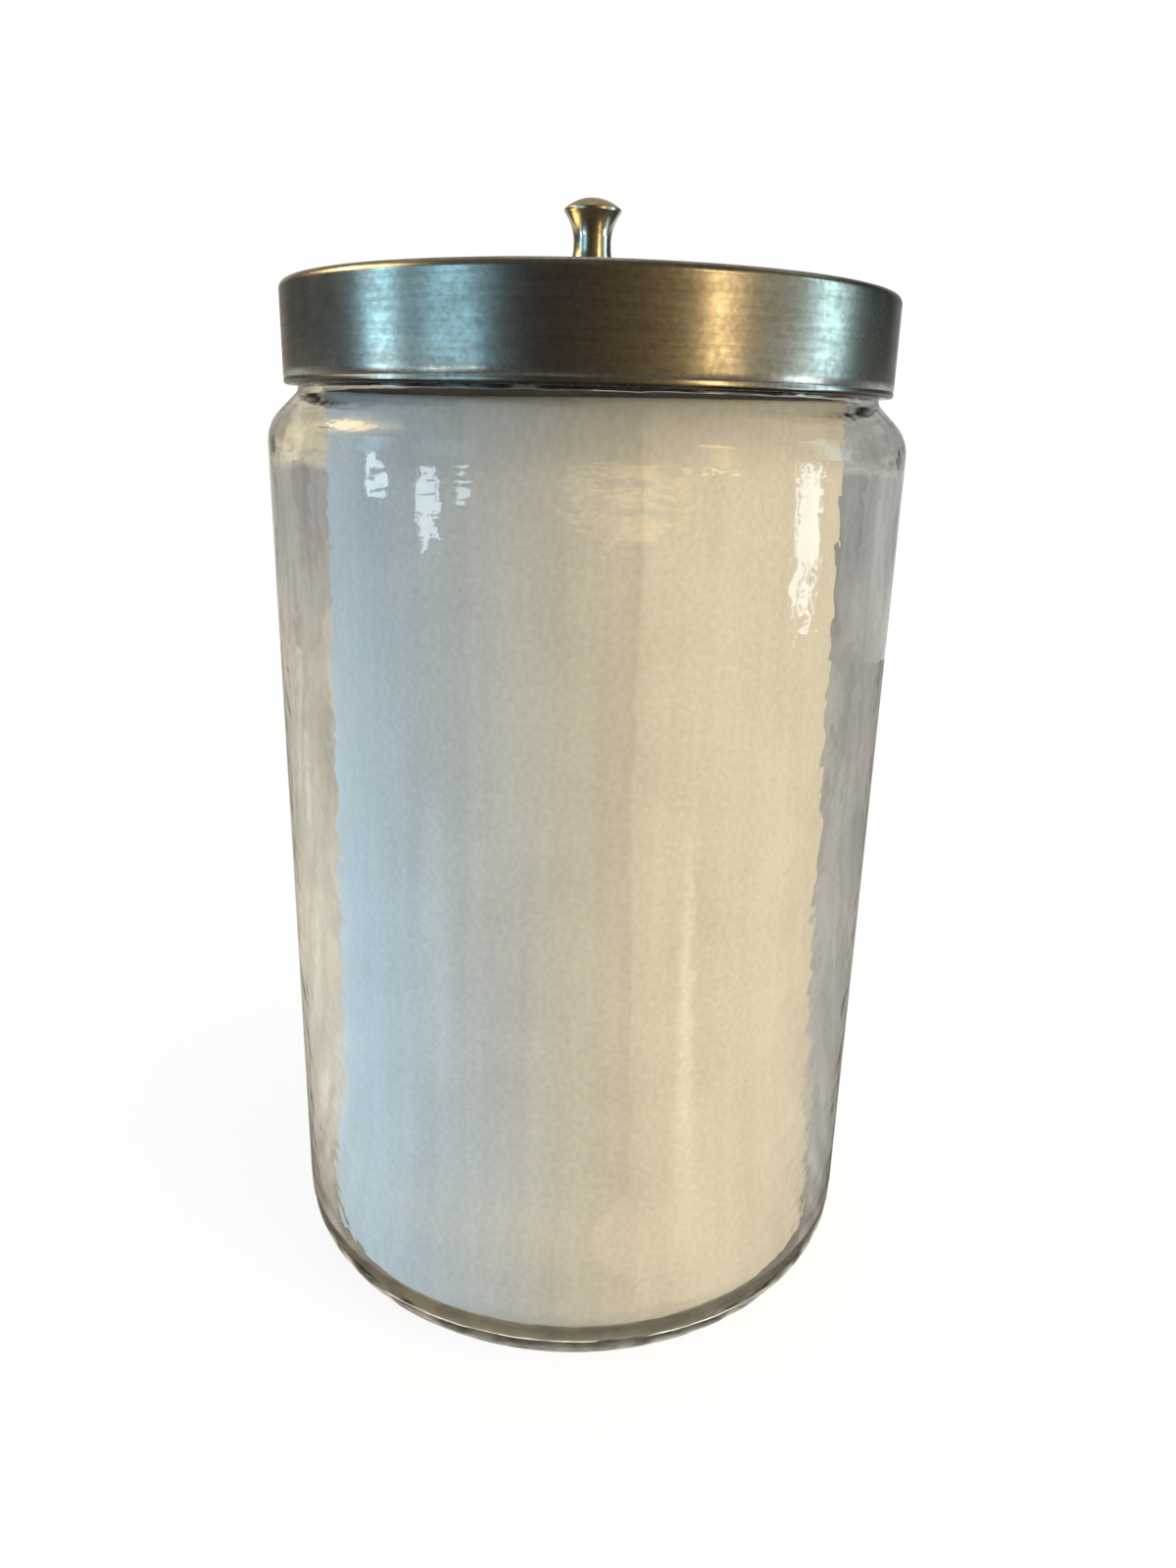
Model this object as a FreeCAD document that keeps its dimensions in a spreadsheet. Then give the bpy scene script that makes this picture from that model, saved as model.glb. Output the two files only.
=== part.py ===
import FreeCAD, Part
import math
import os
import Sketcher

# Lidded glass jar: a blown jar, a rolled paper liner inside it, and a drawn metal lid
# that slips over the neck and is lifted by a turned knob.
# Millimetres and degrees. The origin is the middle of the base and +Z is up.

# Driving dimensions: name, value, meaning.
DIMENSIONS = [
    # Jar
    ("body_radius", 54.0, "outside of the straight wall"),
    ("shoulder_height", 154.9, "base to the corner where the shoulder slope starts"),
    ("shoulder_slope", 45.0, "turn of the shoulder from the upright wall"),
    ("neck_radius", 48.8, "outside of the neck"),
    ("neck_height", 15.8, "foot of the neck to the rim"),
    ("wall", 4.0, "glass thickness of wall, shoulder and neck"),
    ("base_thickness", 5.0, "glass under the floor"),
    ("shoulder_round", 7.0, "outside round of the shoulder"),
    ("cove_round", 1.5, "hollow round where the shoulder meets the neck"),
    ("heel_round", 10.7, "outside round at the bottom corner"),
    ("inside_heel_round", 5.3, "round between wall and floor"),
    ("lip_round", 1.2, "rounds on the two edges of the rim"),
    ("bearing_width", 4.0, "flat ring that the jar stands on"),
    ("push_up_depth", 2.5, "hollow under the base at its middle"),
    ("floor_crown", 2.0, "rise of the floor at its middle"),
    # Paper liner
    ("paper", 0.4, "thickness of the rolled sheet"),
    ("lap_gap", 0.15, "air between the layers at the lap"),
    ("lap_angle", 24.0, "overlap of the rolled sheet"),
    ("liner_mouth_play", 0.55, "how much the liner's top is narrower than the mouth, on the radius"),
    ("liner_foot_gap", 2.4, "liner foot to the inside of the wall"),
    ("liner_seat_gap", 0.2, "liner foot to the glass under it"),
    ("flare_gap", 0.7, "spread part of the liner to the inside of the wall"),
    ("flare_height", 10.2, "upright stretch of the spread part"),
    ("flare_run", 10.5, "height over which the liner draws in above the spread part"),
    ("liner_waist_gap", 2.8, "drawn-in liner to the inside of the wall"),
    ("liner_drop", 0.2, "liner top below the foot of the neck inside"),
    # Lid
    ("sheet", 0.6, "metal thickness"),
    ("lid_play", 1.0, "hem to neck all round"),
    ("skirt_length", 15.45, "height of the lid outside"),
    ("corner_round", 1.3, "outside round of the lid's top edge"),
    ("hem_height", 2.4, "height of the turned-in hem"),
    ("hem_round", 0.5, "rounds on the lower edge of the hem"),
    ("crease_rise", 1.05, "lower edge to the crease that the hem leaves in the skirt"),
    ("crease_round", 0.5, "hollow round of the crease"),
    ("crease_depth", 0.1, "depth of the crease"),
    # Knob
    ("knob_height", 14.9, "lid top to the crown of the knob"),
    ("knob_foot_radius", 5.0, "foot that sits on the lid"),
    ("knob_foot_rise", 1.2, "upright edge of the foot"),
    ("knob_waist_radius", 3.1, "narrowest part"),
    ("knob_waist_rise", 8.2, "lid top to the waist"),
    ("knob_head_radius", 4.7, "widest part of the head"),
    ("knob_head_rise", 12.7, "lid top to the lower edge of the head"),
    ("knob_rim", 0.45, "upright edge of the head"),
    ("knob_edge_round", 0.2, "rounds on the edges of head and foot"),
    # Screw and washer
    ("screw_radius", 1.5, "shank of the screw"),
    ("screw_engagement", 6.0, "shank inside the knob"),
    ("screw_head_radius", 2.8, "pan head"),
    ("screw_head_height", 1.9, "pan head"),
    ("screw_head_round", 0.9, "round on the pan head"),
    ("screw_tip_chamfer", 0.35, "lead at the tip"),
    ("slot_width", 0.8, "screwdriver slot"),
    ("slot_depth", 1.0, "screwdriver slot"),
    ("screw_play", 0.15, "shank to the holes in lid and washer"),
    ("thread_play", 0.05, "shank to the tapped hole in the knob"),
    ("tap_spare", 1.0, "tapped hole past the tip of the screw"),
    ("drill_point", 31.0, "slope of the drilled end of the tapped hole"),
    ("washer_radius", 4.2, "outside of the washer"),
    ("washer_thickness", 0.6, "washer"),
]

# Sizes that follow from the driving dimensions, so that pieces keep fitting each other.
FITS = [
    ("neck_foot", "dims.shoulder_height + (dims.body_radius - dims.neck_radius) / tan(dims.shoulder_slope)"),
    ("rim_height", "neck_foot + dims.neck_height"),
    ("inside_radius", "dims.body_radius - dims.wall"),
    ("mouth_radius", "dims.neck_radius - dims.wall"),
    ("inside_drop", "dims.wall * tan(dims.shoulder_slope / 2)"),
    ("inside_shoulder", "dims.shoulder_height - inside_drop"),
    ("inside_neck_foot", "neck_foot - inside_drop"),
    ("inside_shoulder_round", "max(dims.shoulder_round - dims.wall; 1)"),
    ("inside_cove_round", "dims.cove_round + dims.wall"),
    ("push_up_radius", "dims.body_radius - dims.heel_round - dims.bearing_width"),
    ("floor_top", "dims.base_thickness + dims.floor_crown"),
    ("liner_foot_radius", "inside_radius - dims.liner_foot_gap"),
    ("liner_heel_reach", "max(dims.inside_heel_round - dims.liner_foot_gap; 0)"),
    ("liner_heel_rise", "dims.inside_heel_round - sqrt(dims.inside_heel_round^2 - liner_heel_reach^2)"),
    ("liner_foot", "dims.base_thickness + liner_heel_rise + dims.liner_seat_gap"),
    ("liner_flare_radius", "inside_radius - dims.flare_gap"),
    ("liner_flare_foot", "dims.base_thickness + dims.inside_heel_round"),
    ("liner_flare_top", "liner_flare_foot + dims.flare_height"),
    ("liner_waist_radius", "inside_radius - dims.liner_waist_gap"),
    ("liner_waist", "liner_flare_top + dims.flare_run"),
    ("liner_top_radius", "mouth_radius - dims.liner_mouth_play"),
    ("liner_top", "inside_neck_foot - dims.liner_drop"),
    ("lap_shift", "(dims.paper + dims.lap_gap) / 2"),
    ("lid_top", "rim_height + dims.sheet"),
    ("lid_foot", "lid_top - dims.skirt_length"),
    ("hem_top", "lid_foot + dims.hem_height"),
    ("hem_bore", "dims.neck_radius + dims.lid_play"),
    ("skirt_bore", "hem_bore + dims.sheet"),
    ("lid_radius", "skirt_bore + dims.sheet"),
    ("inside_corner_round", "dims.corner_round - dims.sheet"),
    ("crease_height", "lid_foot + dims.crease_rise"),
    ("crease_reach", "lid_radius + dims.crease_round - dims.crease_depth"),
    ("knob_foot_top", "lid_top + dims.knob_foot_rise"),
    ("knob_waist", "lid_top + dims.knob_waist_rise"),
    ("knob_head_foot", "lid_top + dims.knob_head_rise"),
    ("knob_head_edge", "knob_head_foot + dims.knob_rim"),
    ("knob_top", "lid_top + dims.knob_height"),
    ("screw_hole", "dims.screw_radius + dims.screw_play"),
    ("tap_radius", "dims.screw_radius + dims.thread_play"),
    ("screw_tip", "lid_top + dims.screw_engagement"),
    ("tap_end", "screw_tip + dims.tap_spare"),
    ("tap_point", "tap_end + tap_radius * tan(dims.drill_point)"),
    ("washer_foot", "rim_height - dims.washer_thickness"),
    ("screw_foot", "washer_foot - dims.screw_head_height"),
    ("slot_half", "dims.slot_width / 2"),
]

START, END, CENTRE = 1, 2, 3
ORIGIN_POINT = (-1, 1)
LEVEL_AXIS, UPRIGHT_AXIS = -1, -2
EDGE_MATCH = 1e-4
FLAT = FreeCAD.Vector(0, 0, 1)

doc = FreeCAD.newDocument("lidded_jar")


def make_sheet():
    """Spreadsheet of the driving dimensions, one alias for each."""
    sheet = doc.addObject("Spreadsheet::Sheet", "dims")
    for row, (name, value, meaning) in enumerate(DIMENSIONS, start=1):
        sheet.set(f"A{row}", name)
        sheet.set(f"B{row}", str(value))
        sheet.set(f"C{row}", meaning)
        sheet.setAlias(f"B{row}", name)
    doc.recompute()
    return sheet


def make_fits():
    """Variables worked out from the driving dimensions."""
    variables = doc.addObject("App::VarSet", "fits")
    for name, formula in FITS:
        variables.addProperty("App::PropertyFloat", name)
        variables.setExpression(name, formula)
    doc.recompute()
    return variables


sheet = make_sheet()
fits = make_fits()
FIT_NAMES = {name for name, formula in FITS}


def path(name):
    """Where an expression finds a named size."""
    return f"fits.{name}" if name in FIT_NAMES else f"dims.{name}"


def size(name):
    """Present value of a named size; 0 stands for a point on an axis."""
    if name == 0:
        return 0.0
    return float(getattr(fits if name in FIT_NAMES else sheet, name))


def place(point):
    """Sketch point from a pair of named sizes."""
    return FreeCAD.Vector(size(point[0]), size(point[1]), 0)


def new_body(label):
    body = doc.addObject("PartDesign::Body", label)
    body.Label = label
    return body


def new_sketch(body, name, role="XZ_Plane", height=None):
    """Sketch on one of the body's own origin planes, raised to a named height if one is given."""
    sketch = body.newObject("Sketcher::SketchObject", name)
    planes = [plane for plane in body.Origin.OriginFeatures if plane.Role == role]
    sketch.AttachmentSupport = [(planes[0], "")]
    sketch.MapMode = "FlatFace"
    if height:
        sketch.setExpression("AttachmentOffset.Base.z", path(height))
    return sketch


def bind(sketch, kind, *where, name):
    """Dimension in a sketch that takes its value from a named size."""
    value = math.radians(size(name)) if kind == "Angle" else size(name)
    index = sketch.addConstraint(Sketcher.Constraint(kind, *where, value))
    sketch.setExpression(f"Constraints[{index}]", path(name))


def join(sketch, first, second):
    sketch.addConstraint(Sketcher.Constraint("Coincident", *first, *second))


def on_axis(sketch, point, axis):
    sketch.addConstraint(Sketcher.Constraint("PointOnObject", *point, axis))


def hold(sketch, point, corner):
    """Pin a sketch point at a pair of named sizes, or on an axis where one of them is 0."""
    for kind, name, axis in (("DistanceX", corner[0], UPRIGHT_AXIS), ("DistanceY", corner[1], LEVEL_AXIS)):
        if name == 0:
            on_axis(sketch, point, axis)
        else:
            bind(sketch, kind, *point, name=name)


def straight(sketch, start, end):
    return sketch.addGeometry(Part.LineSegment(start, end))


def arc_about(sketch, centre, radius, first, last):
    """Arc drawn anticlockwise from one angle to another, in radians."""
    circle = Part.Circle(centre, FLAT, radius)
    return sketch.addGeometry(Part.ArcOfCircle(circle, first, last))


def close_outline(sketch, edges):
    """Join each edge's leaving end to the next edge's arriving end, all the way round."""
    for (edge, arrive, leave), (other, other_arrive, other_leave) in zip(edges, edges[1:] + edges[:1]):
        join(sketch, (edge, leave), (other, other_arrive))


def straight_outline(body, name, corners):
    """Half section with straight sides through corners given as named radius and height."""
    sketch = new_sketch(body, name)
    points = [place(corner) for corner in corners]
    lines = [straight(sketch, a, b) for a, b in zip(points, points[1:] + points[:1])]
    close_outline(sketch, [(line, START, END) for line in lines])
    for line, corner in zip(lines, corners):
        hold(sketch, (line, START), corner)
    return sketch


def cap_outline(body, name, rim, foot, top):
    """Half section of a shallow dome: an arc from the rim up to the axis, closed by its foot."""
    sketch = new_sketch(body, name)
    reach, low, high = size(rim), size(foot), size(top)
    rise = high - low
    radius = (reach ** 2 + rise ** 2) / (2 * rise)
    centre = FreeCAD.Vector(0, high - radius, 0)
    floor = straight(sketch, FreeCAD.Vector(0, low, 0), FreeCAD.Vector(reach, low, 0))
    dome = arc_about(sketch, centre, radius, math.atan2(low - centre.y, reach), math.pi / 2)
    axis = straight(sketch, FreeCAD.Vector(0, high, 0), FreeCAD.Vector(0, low, 0))
    close_outline(sketch, [(floor, START, END), (dome, START, END), (axis, START, END)])
    hold(sketch, (floor, START), (0, foot))
    hold(sketch, (floor, END), (rim, foot))
    hold(sketch, (axis, START), (0, top))
    on_axis(sketch, (dome, CENTRE), UPRIGHT_AXIS)
    return sketch


def turned(body, kind, name, sketch):
    """Revolution or groove of a half section about the upright axis."""
    feature = body.newObject(f"PartDesign::{kind}", name)
    feature.Profile = sketch
    feature.ReferenceAxis = (sketch, ["V_Axis"])
    doc.recompute()
    return feature


def ring_edges(shape, rings):
    """Names of the circular edges at each named radius and height."""
    names = []
    for radius, height in rings:
        for number, edge in enumerate(shape.Edges, start=1):
            if edge.Degenerated or not isinstance(edge.Curve, Part.Circle):
                continue
            curve = edge.Curve
            off = max(abs(curve.Radius - size(radius)), abs(curve.Center.z - size(height)))
            if off < EDGE_MATCH:
                names.append(f"Edge{number}")
    if len(names) != len(rings):
        raise RuntimeError(f"edges not found for {rings}")
    return names


def dressed(body, kind, name, rings, amount):
    """Fillet or chamfer on circular edges of the body as it stands."""
    base = body.Tip
    feature = body.newObject(f"PartDesign::{kind}", name)
    feature.Base = (base, ring_edges(base.Shape, rings))
    feature.setExpression("Radius" if kind == "Fillet" else "Size", path(amount))
    doc.recompute()
    return feature


def make_glass_jar():
    """Blown jar: outside form with its rounds, then the hollow with its own rounds."""
    body = new_body("glass_jar")
    outside = straight_outline(body, "jar_outside", [
        (0, 0),
        ("body_radius", 0),
        ("body_radius", "shoulder_height"),
        ("neck_radius", "neck_foot"),
        ("neck_radius", "rim_height"),
        (0, "rim_height"),
    ])
    turned(body, "Revolution", "jar_form", outside)
    dressed(body, "Fillet", "jar_shoulder", [("body_radius", "shoulder_height")], "shoulder_round")
    dressed(body, "Fillet", "jar_cove", [("neck_radius", "neck_foot")], "cove_round")
    dressed(body, "Fillet", "jar_heel", [("body_radius", 0)], "heel_round")
    # The hollow runs up past the rim so that the mouth is open.
    inside = straight_outline(body, "jar_inside", [
        (0, "base_thickness"),
        ("inside_radius", "base_thickness"),
        ("inside_radius", "inside_shoulder"),
        ("mouth_radius", "inside_neck_foot"),
        ("mouth_radius", "lid_top"),
        (0, "lid_top"),
    ])
    turned(body, "Groove", "jar_hollow", inside)
    shoulder = [("inside_radius", "inside_shoulder")]
    dressed(body, "Fillet", "hollow_shoulder", shoulder, "inside_shoulder_round")
    dressed(body, "Fillet", "hollow_cove", [("mouth_radius", "inside_neck_foot")], "inside_cove_round")
    dressed(body, "Fillet", "hollow_heel", [("inside_radius", "base_thickness")], "inside_heel_round")
    rim = [("neck_radius", "rim_height"), ("mouth_radius", "rim_height")]
    dressed(body, "Fillet", "rim_lip", rim, "lip_round")
    # The floor rises to a low crown over the hollow under the base.
    crown = cap_outline(body, "floor_section", "push_up_radius", "base_thickness", "floor_top")
    turned(body, "Revolution", "floor_rise", crown)
    push_up = cap_outline(body, "push_up_section", "push_up_radius", 0, "push_up_depth")
    turned(body, "Groove", "push_up", push_up)
    return body


def rolled_section(body, name, outer_radius, height):
    """Section of a sheet rolled once round, with its inner end tucked behind the outer one.

    The roll is three arcs: a half turn about the axis from the outer end at the back, a half
    turn about a centre shifted by half a layer, and the lap about the axis again.
    """
    sketch = new_sketch(body, name, "XY_Plane", height)
    axis = FreeCAD.Vector(0, 0, 0)
    shifted = FreeCAD.Vector(0, -size("lap_shift"), 0)
    back, front, full = math.pi / 2, 3 * math.pi / 2, 5 * math.pi / 2
    lap_end = full + math.radians(size("lap_angle"))

    def layer(radius):
        first = arc_about(sketch, axis, radius, back, front)
        second = arc_about(sketch, shifted, radius - size("lap_shift"), front, full)
        third = arc_about(sketch, axis, radius - 2 * size("lap_shift"), full, lap_end)
        join(sketch, (first, CENTRE), ORIGIN_POINT)
        join(sketch, (third, CENTRE), ORIGIN_POINT)
        for point in ((first, START), (first, END), (second, END)):
            on_axis(sketch, point, UPRIGHT_AXIS)
        return first, second, third

    outer = layer(size(outer_radius))
    inner = layer(size(outer_radius) - size("paper"))
    tip_outer = sketch.Geometry[outer[2]].EndPoint
    tip_inner = sketch.Geometry[inner[2]].EndPoint
    tip = straight(sketch, tip_outer, tip_inner)
    butt = straight(sketch, sketch.Geometry[inner[0]].StartPoint, sketch.Geometry[outer[0]].StartPoint)
    edges = [(edge, START, END) for edge in outer]
    edges.append((tip, START, END))
    edges.extend((edge, END, START) for edge in reversed(inner))
    edges.append((butt, START, END))
    close_outline(sketch, edges)
    bind(sketch, "Radius", outer[0], name=outer_radius)
    bind(sketch, "Angle", outer[2], name="lap_angle")
    bind(sketch, "Distance", butt, name="paper")
    bind(sketch, "Distance", *ORIGIN_POINT, outer[1], CENTRE, name="lap_shift")
    on_axis(sketch, (outer[1], CENTRE), UPRIGHT_AXIS)
    join(sketch, (inner[1], CENTRE), (outer[1], CENTRE))
    on_axis(sketch, ORIGIN_POINT, tip)
    return sketch


def make_paper_liner():
    """Rolled sheet, drawn in to the mouth's width at its top and spread towards the wall near its foot."""
    body = new_body("paper_liner")
    foot, *sections = [
        rolled_section(body, f"liner_{place}_section", radius, height)
        for place, radius, height in (
            ("foot", "liner_foot_radius", "liner_foot"),
            ("flare", "liner_flare_radius", "liner_flare_foot"),
            ("spread", "liner_flare_radius", "liner_flare_top"),
            ("waist", "liner_waist_radius", "liner_waist"),
            ("top", "liner_top_radius", "liner_top"),
        )
    ]
    roll = body.newObject("PartDesign::AdditiveLoft", "liner_roll")
    roll.Profile = foot
    roll.Sections = sections
    roll.Ruled = True
    doc.recompute()
    return body


def make_lid_shell():
    """Drawn lid: flat top on the rim, straight skirt, lower edge turned in as a flat hem."""
    body = new_body("lid_shell")
    section = straight_outline(body, "lid_section", [
        ("screw_hole", "rim_height"),
        ("screw_hole", "lid_top"),
        ("lid_radius", "lid_top"),
        ("lid_radius", "lid_foot"),
        ("hem_bore", "lid_foot"),
        ("hem_bore", "hem_top"),
        ("skirt_bore", "hem_top"),
        ("skirt_bore", "rim_height"),
    ])
    turned(body, "Revolution", "lid_form", section)
    dressed(body, "Fillet", "lid_corner", [("lid_radius", "lid_top")], "corner_round")
    dressed(body, "Fillet", "lid_inside_corner", [("skirt_bore", "rim_height")], "inside_corner_round")
    dressed(body, "Fillet", "lid_hem", [("lid_radius", "lid_foot"), ("hem_bore", "lid_foot")], "hem_round")
    # Turning the hem in leaves a shallow crease round the outside of the skirt.
    crease = new_sketch(body, "crease_section")
    centre = ("crease_reach", "crease_height")
    circle = crease.addGeometry(Part.Circle(place(centre), FLAT, size("crease_round")))
    hold(crease, (circle, CENTRE), centre)
    bind(crease, "Radius", circle, name="crease_round")
    turned(body, "Groove", "hem_crease", crease)
    return body


def flare(sketch, waist, edge):
    """Hollow arc between the waist and an edge, upright where it leaves the waist."""
    narrow, wide = place(waist), place(edge)
    across, along = wide.x - narrow.x, wide.y - narrow.y
    radius = (across ** 2 + along ** 2) / (2 * across)
    centre = FreeCAD.Vector(narrow.x + radius, narrow.y, 0)
    to_edge = math.atan2(along, wide.x - centre.x)
    if along > 0:
        return arc_about(sketch, centre, radius, to_edge, math.pi)
    return arc_about(sketch, centre, radius, math.pi, to_edge + 2 * math.pi)


def make_lid_knob():
    """Turned knob: foot, hollow waist, head with a domed crown, and a tapped hole from below."""
    body = new_body("lid_knob")
    sketch = new_sketch(body, "knob_section")
    waist = ("knob_waist_radius", "knob_waist")
    foot_edge = ("knob_foot_radius", "knob_foot_top")
    head_edge = ("knob_head_radius", "knob_head_foot")
    rim_edge = ("knob_head_radius", "knob_head_edge")
    foot_corners = [(0, "lid_top"), ("knob_foot_radius", "lid_top"), foot_edge]
    foot = straight(sketch, place(foot_corners[0]), place(foot_corners[1]))
    foot_side = straight(sketch, place(foot_corners[1]), place(foot_edge))
    lower = flare(sketch, waist, foot_edge)
    upper = flare(sketch, waist, head_edge)
    head_side = straight(sketch, place(head_edge), place(rim_edge))
    reach = size("knob_head_radius")
    rise = size("knob_top") - size("knob_head_edge")
    radius = (reach ** 2 + rise ** 2) / (2 * rise)
    middle = FreeCAD.Vector(0, size("knob_top") - radius, 0)
    dome = arc_about(sketch, middle, radius, math.atan2(radius - rise, reach), math.pi / 2)
    axis = straight(sketch, place((0, "knob_top")), place(foot_corners[0]))
    close_outline(sketch, [
        (foot, START, END),
        (foot_side, START, END),
        (lower, END, START),
        (upper, END, START),
        (head_side, START, END),
        (dome, START, END),
        (axis, START, END),
    ])
    for point, corner in (
        ((foot, START), foot_corners[0]),
        ((foot, END), foot_corners[1]),
        ((foot_side, END), foot_edge),
        ((upper, END), waist),
        ((head_side, START), head_edge),
        ((head_side, END), rim_edge),
        ((axis, START), (0, "knob_top")),
    ):
        hold(sketch, point, corner)
    for arc in (lower, upper):
        bind(sketch, "DistanceY", arc, CENTRE, name="knob_waist")
    on_axis(sketch, (dome, CENTRE), UPRIGHT_AXIS)
    turned(body, "Revolution", "knob_form", sketch)
    edges = [foot_edge, head_edge, rim_edge]
    dressed(body, "Fillet", "knob_edges", edges, "knob_edge_round")
    tapped = straight_outline(body, "tapped_hole_section", [
        (0, "lid_top"),
        ("tap_radius", "lid_top"),
        ("tap_radius", "tap_end"),
        (0, "tap_point"),
    ])
    turned(body, "Groove", "tapped_hole", tapped)
    return body


def make_knob_screw():
    """Slotted pan-head screw that comes up through washer and lid into the knob."""
    body = new_body("knob_screw")
    section = straight_outline(body, "screw_section", [
        (0, "screw_foot"),
        ("screw_head_radius", "screw_foot"),
        ("screw_head_radius", "washer_foot"),
        ("screw_radius", "washer_foot"),
        ("screw_radius", "screw_tip"),
        (0, "screw_tip"),
    ])
    turned(body, "Revolution", "screw_form", section)
    dressed(body, "Fillet", "screw_head", [("screw_head_radius", "screw_foot")], "screw_head_round")
    dressed(body, "Chamfer", "screw_tip", [("screw_radius", "screw_tip")], "screw_tip_chamfer")
    slot = new_sketch(body, "slot_section", "XY_Plane", "screw_foot")
    length, half = size("screw_head_radius"), size("slot_half")
    corners = [FreeCAD.Vector(x * length, y * half, 0) for x, y in ((-1, -1), (1, -1), (1, 1), (-1, 1))]
    sides = [straight(slot, a, b) for a, b in zip(corners, corners[1:] + corners[:1])]
    close_outline(slot, [(side, START, END) for side in sides])
    for side in sides[0::2]:
        slot.addConstraint(Sketcher.Constraint("Horizontal", side))
    for side in sides[1::2]:
        slot.addConstraint(Sketcher.Constraint("Vertical", side))
    slot.addConstraint(Sketcher.Constraint("Symmetric", sides[0], START, sides[1], END, *ORIGIN_POINT))
    bind(slot, "DistanceX", sides[0], END, name="screw_head_radius")
    bind(slot, "DistanceY", sides[1], END, name="slot_half")
    cut = body.newObject("PartDesign::Pocket", "screw_slot")
    cut.Profile = slot
    cut.Reversed = True
    cut.setExpression("Length", path("slot_depth"))
    doc.recompute()
    return body


def make_knob_washer():
    """Flat washer that spreads the screw head's pull under the thin lid."""
    body = new_body("knob_washer")
    ring = new_sketch(body, "washer_section", "XY_Plane", "washer_foot")
    for name in ("washer_radius", "screw_hole"):
        circle = ring.addGeometry(Part.Circle(FreeCAD.Vector(0, 0, 0), FLAT, size(name)))
        join(ring, (circle, CENTRE), ORIGIN_POINT)
        bind(ring, "Radius", circle, name=name)
    plate = body.newObject("PartDesign::Pad", "washer_plate")
    plate.Profile = ring
    plate.setExpression("Length", path("washer_thickness"))
    doc.recompute()
    return body


def check(pieces):
    """Stop if anything failed to build, a cut removed nothing, or a piece is not one good solid."""
    doc.recompute()
    for item in doc.Objects:
        if {"Invalid", "Error"} & set(item.State):
            raise RuntimeError(f"{item.Label} did not build: {item.State}")
        if item.TypeId in ("PartDesign::Groove", "PartDesign::Pocket"):
            if item.Shape.Volume >= item.BaseFeature.Shape.Volume:
                raise RuntimeError(f"{item.Label} cut nothing")
    for piece in pieces:
        shape = piece.Shape
        if shape.isNull() or not shape.isValid() or len(shape.Solids) != 1:
            raise RuntimeError(f"{piece.Label} is not one good solid")


pieces = [
    make_glass_jar(),
    make_paper_liner(),
    make_lid_shell(),
    make_lid_knob(),
    make_knob_screw(),
    make_knob_washer(),
]
check(pieces)
os.makedirs("parts", exist_ok=True)
for piece in pieces:
    piece.Shape.exportStep(f"parts/{piece.Label}.step")
    print(piece.Label, round(piece.Shape.Volume, 1))
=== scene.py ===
import math

import bpy
from mathutils import Matrix, Vector


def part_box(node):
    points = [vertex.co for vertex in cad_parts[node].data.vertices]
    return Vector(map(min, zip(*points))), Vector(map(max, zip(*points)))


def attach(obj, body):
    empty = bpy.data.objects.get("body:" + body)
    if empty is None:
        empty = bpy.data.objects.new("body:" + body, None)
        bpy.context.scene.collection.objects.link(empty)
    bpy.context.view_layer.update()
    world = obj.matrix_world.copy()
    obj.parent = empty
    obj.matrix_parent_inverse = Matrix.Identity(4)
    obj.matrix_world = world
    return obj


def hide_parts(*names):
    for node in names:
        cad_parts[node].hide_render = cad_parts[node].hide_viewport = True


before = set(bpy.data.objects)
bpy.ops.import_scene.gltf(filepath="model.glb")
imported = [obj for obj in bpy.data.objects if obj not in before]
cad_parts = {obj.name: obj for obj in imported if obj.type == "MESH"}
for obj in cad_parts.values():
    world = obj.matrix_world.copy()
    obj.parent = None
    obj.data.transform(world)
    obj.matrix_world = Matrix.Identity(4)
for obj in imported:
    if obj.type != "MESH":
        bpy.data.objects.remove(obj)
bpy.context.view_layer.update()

# Lidded glass jar in metres, with +Z up and its front towards -Y.

MM = 0.001

# Outside sizes, as the frame has them
_, jar_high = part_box("glass_jar")
liner_low, liner_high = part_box("paper_liner")
lid_low, lid_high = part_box("lid_shell")
knob_low, knob_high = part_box("lid_knob")

# Jar
BODY_RADIUS = jar_high.x
RIM_HEIGHT = jar_high.z
WALL = 4.0 * MM
NECK_RADIUS = 48.8 * MM
NECK_HEIGHT = 15.8 * MM
NECK_FOOT = RIM_HEIGHT - NECK_HEIGHT
SHOULDER = NECK_FOOT - (BODY_RADIUS - NECK_RADIUS)
SHOULDER_ROUND = 7.0 * MM
COVE_ROUND = 1.5 * MM
HEEL_ROUND = 10.7 * MM
LIP_ROUND = 1.2 * MM
BASE = 5.0 * MM
FLOOR_CROWN = 2.0 * MM
PUSH_UP_DEPTH = 2.5 * MM
BEARING_WIDTH = 4.0 * MM
PUSH_UP_RADIUS = BODY_RADIUS - HEEL_ROUND - BEARING_WIDTH
INSIDE_RADIUS = BODY_RADIUS - WALL
MOUTH_RADIUS = NECK_RADIUS - WALL
INSIDE_DROP = WALL * math.tan(math.radians(22.5))
INSIDE_HEEL_ROUND = 5.3 * MM
INSIDE_SHOULDER_ROUND = 8.0 * MM
INSIDE_COVE_ROUND = COVE_ROUND + WALL
INSIDE_NECK_FOOT = NECK_FOOT - INSIDE_DROP
GLASS_STEP = 1.4 * MM
GLASS_SEGMENTS = 240
GRAIN_STRETCH = 1.8
# Waves and rings in the glass: where its front gives way to its sides, how strong they are at each,
# in shares of the grain, and the heights over which the rings come in
WAVY_FRONT = (-40.0 * MM, -28.0 * MM)
WAVES = (14.0, 5.0)
RINGS = (20.0, 4.0)
RING_HEIGHTS = (SHOULDER - 22.0 * MM, SHOULDER - 7.0 * MM)

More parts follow.
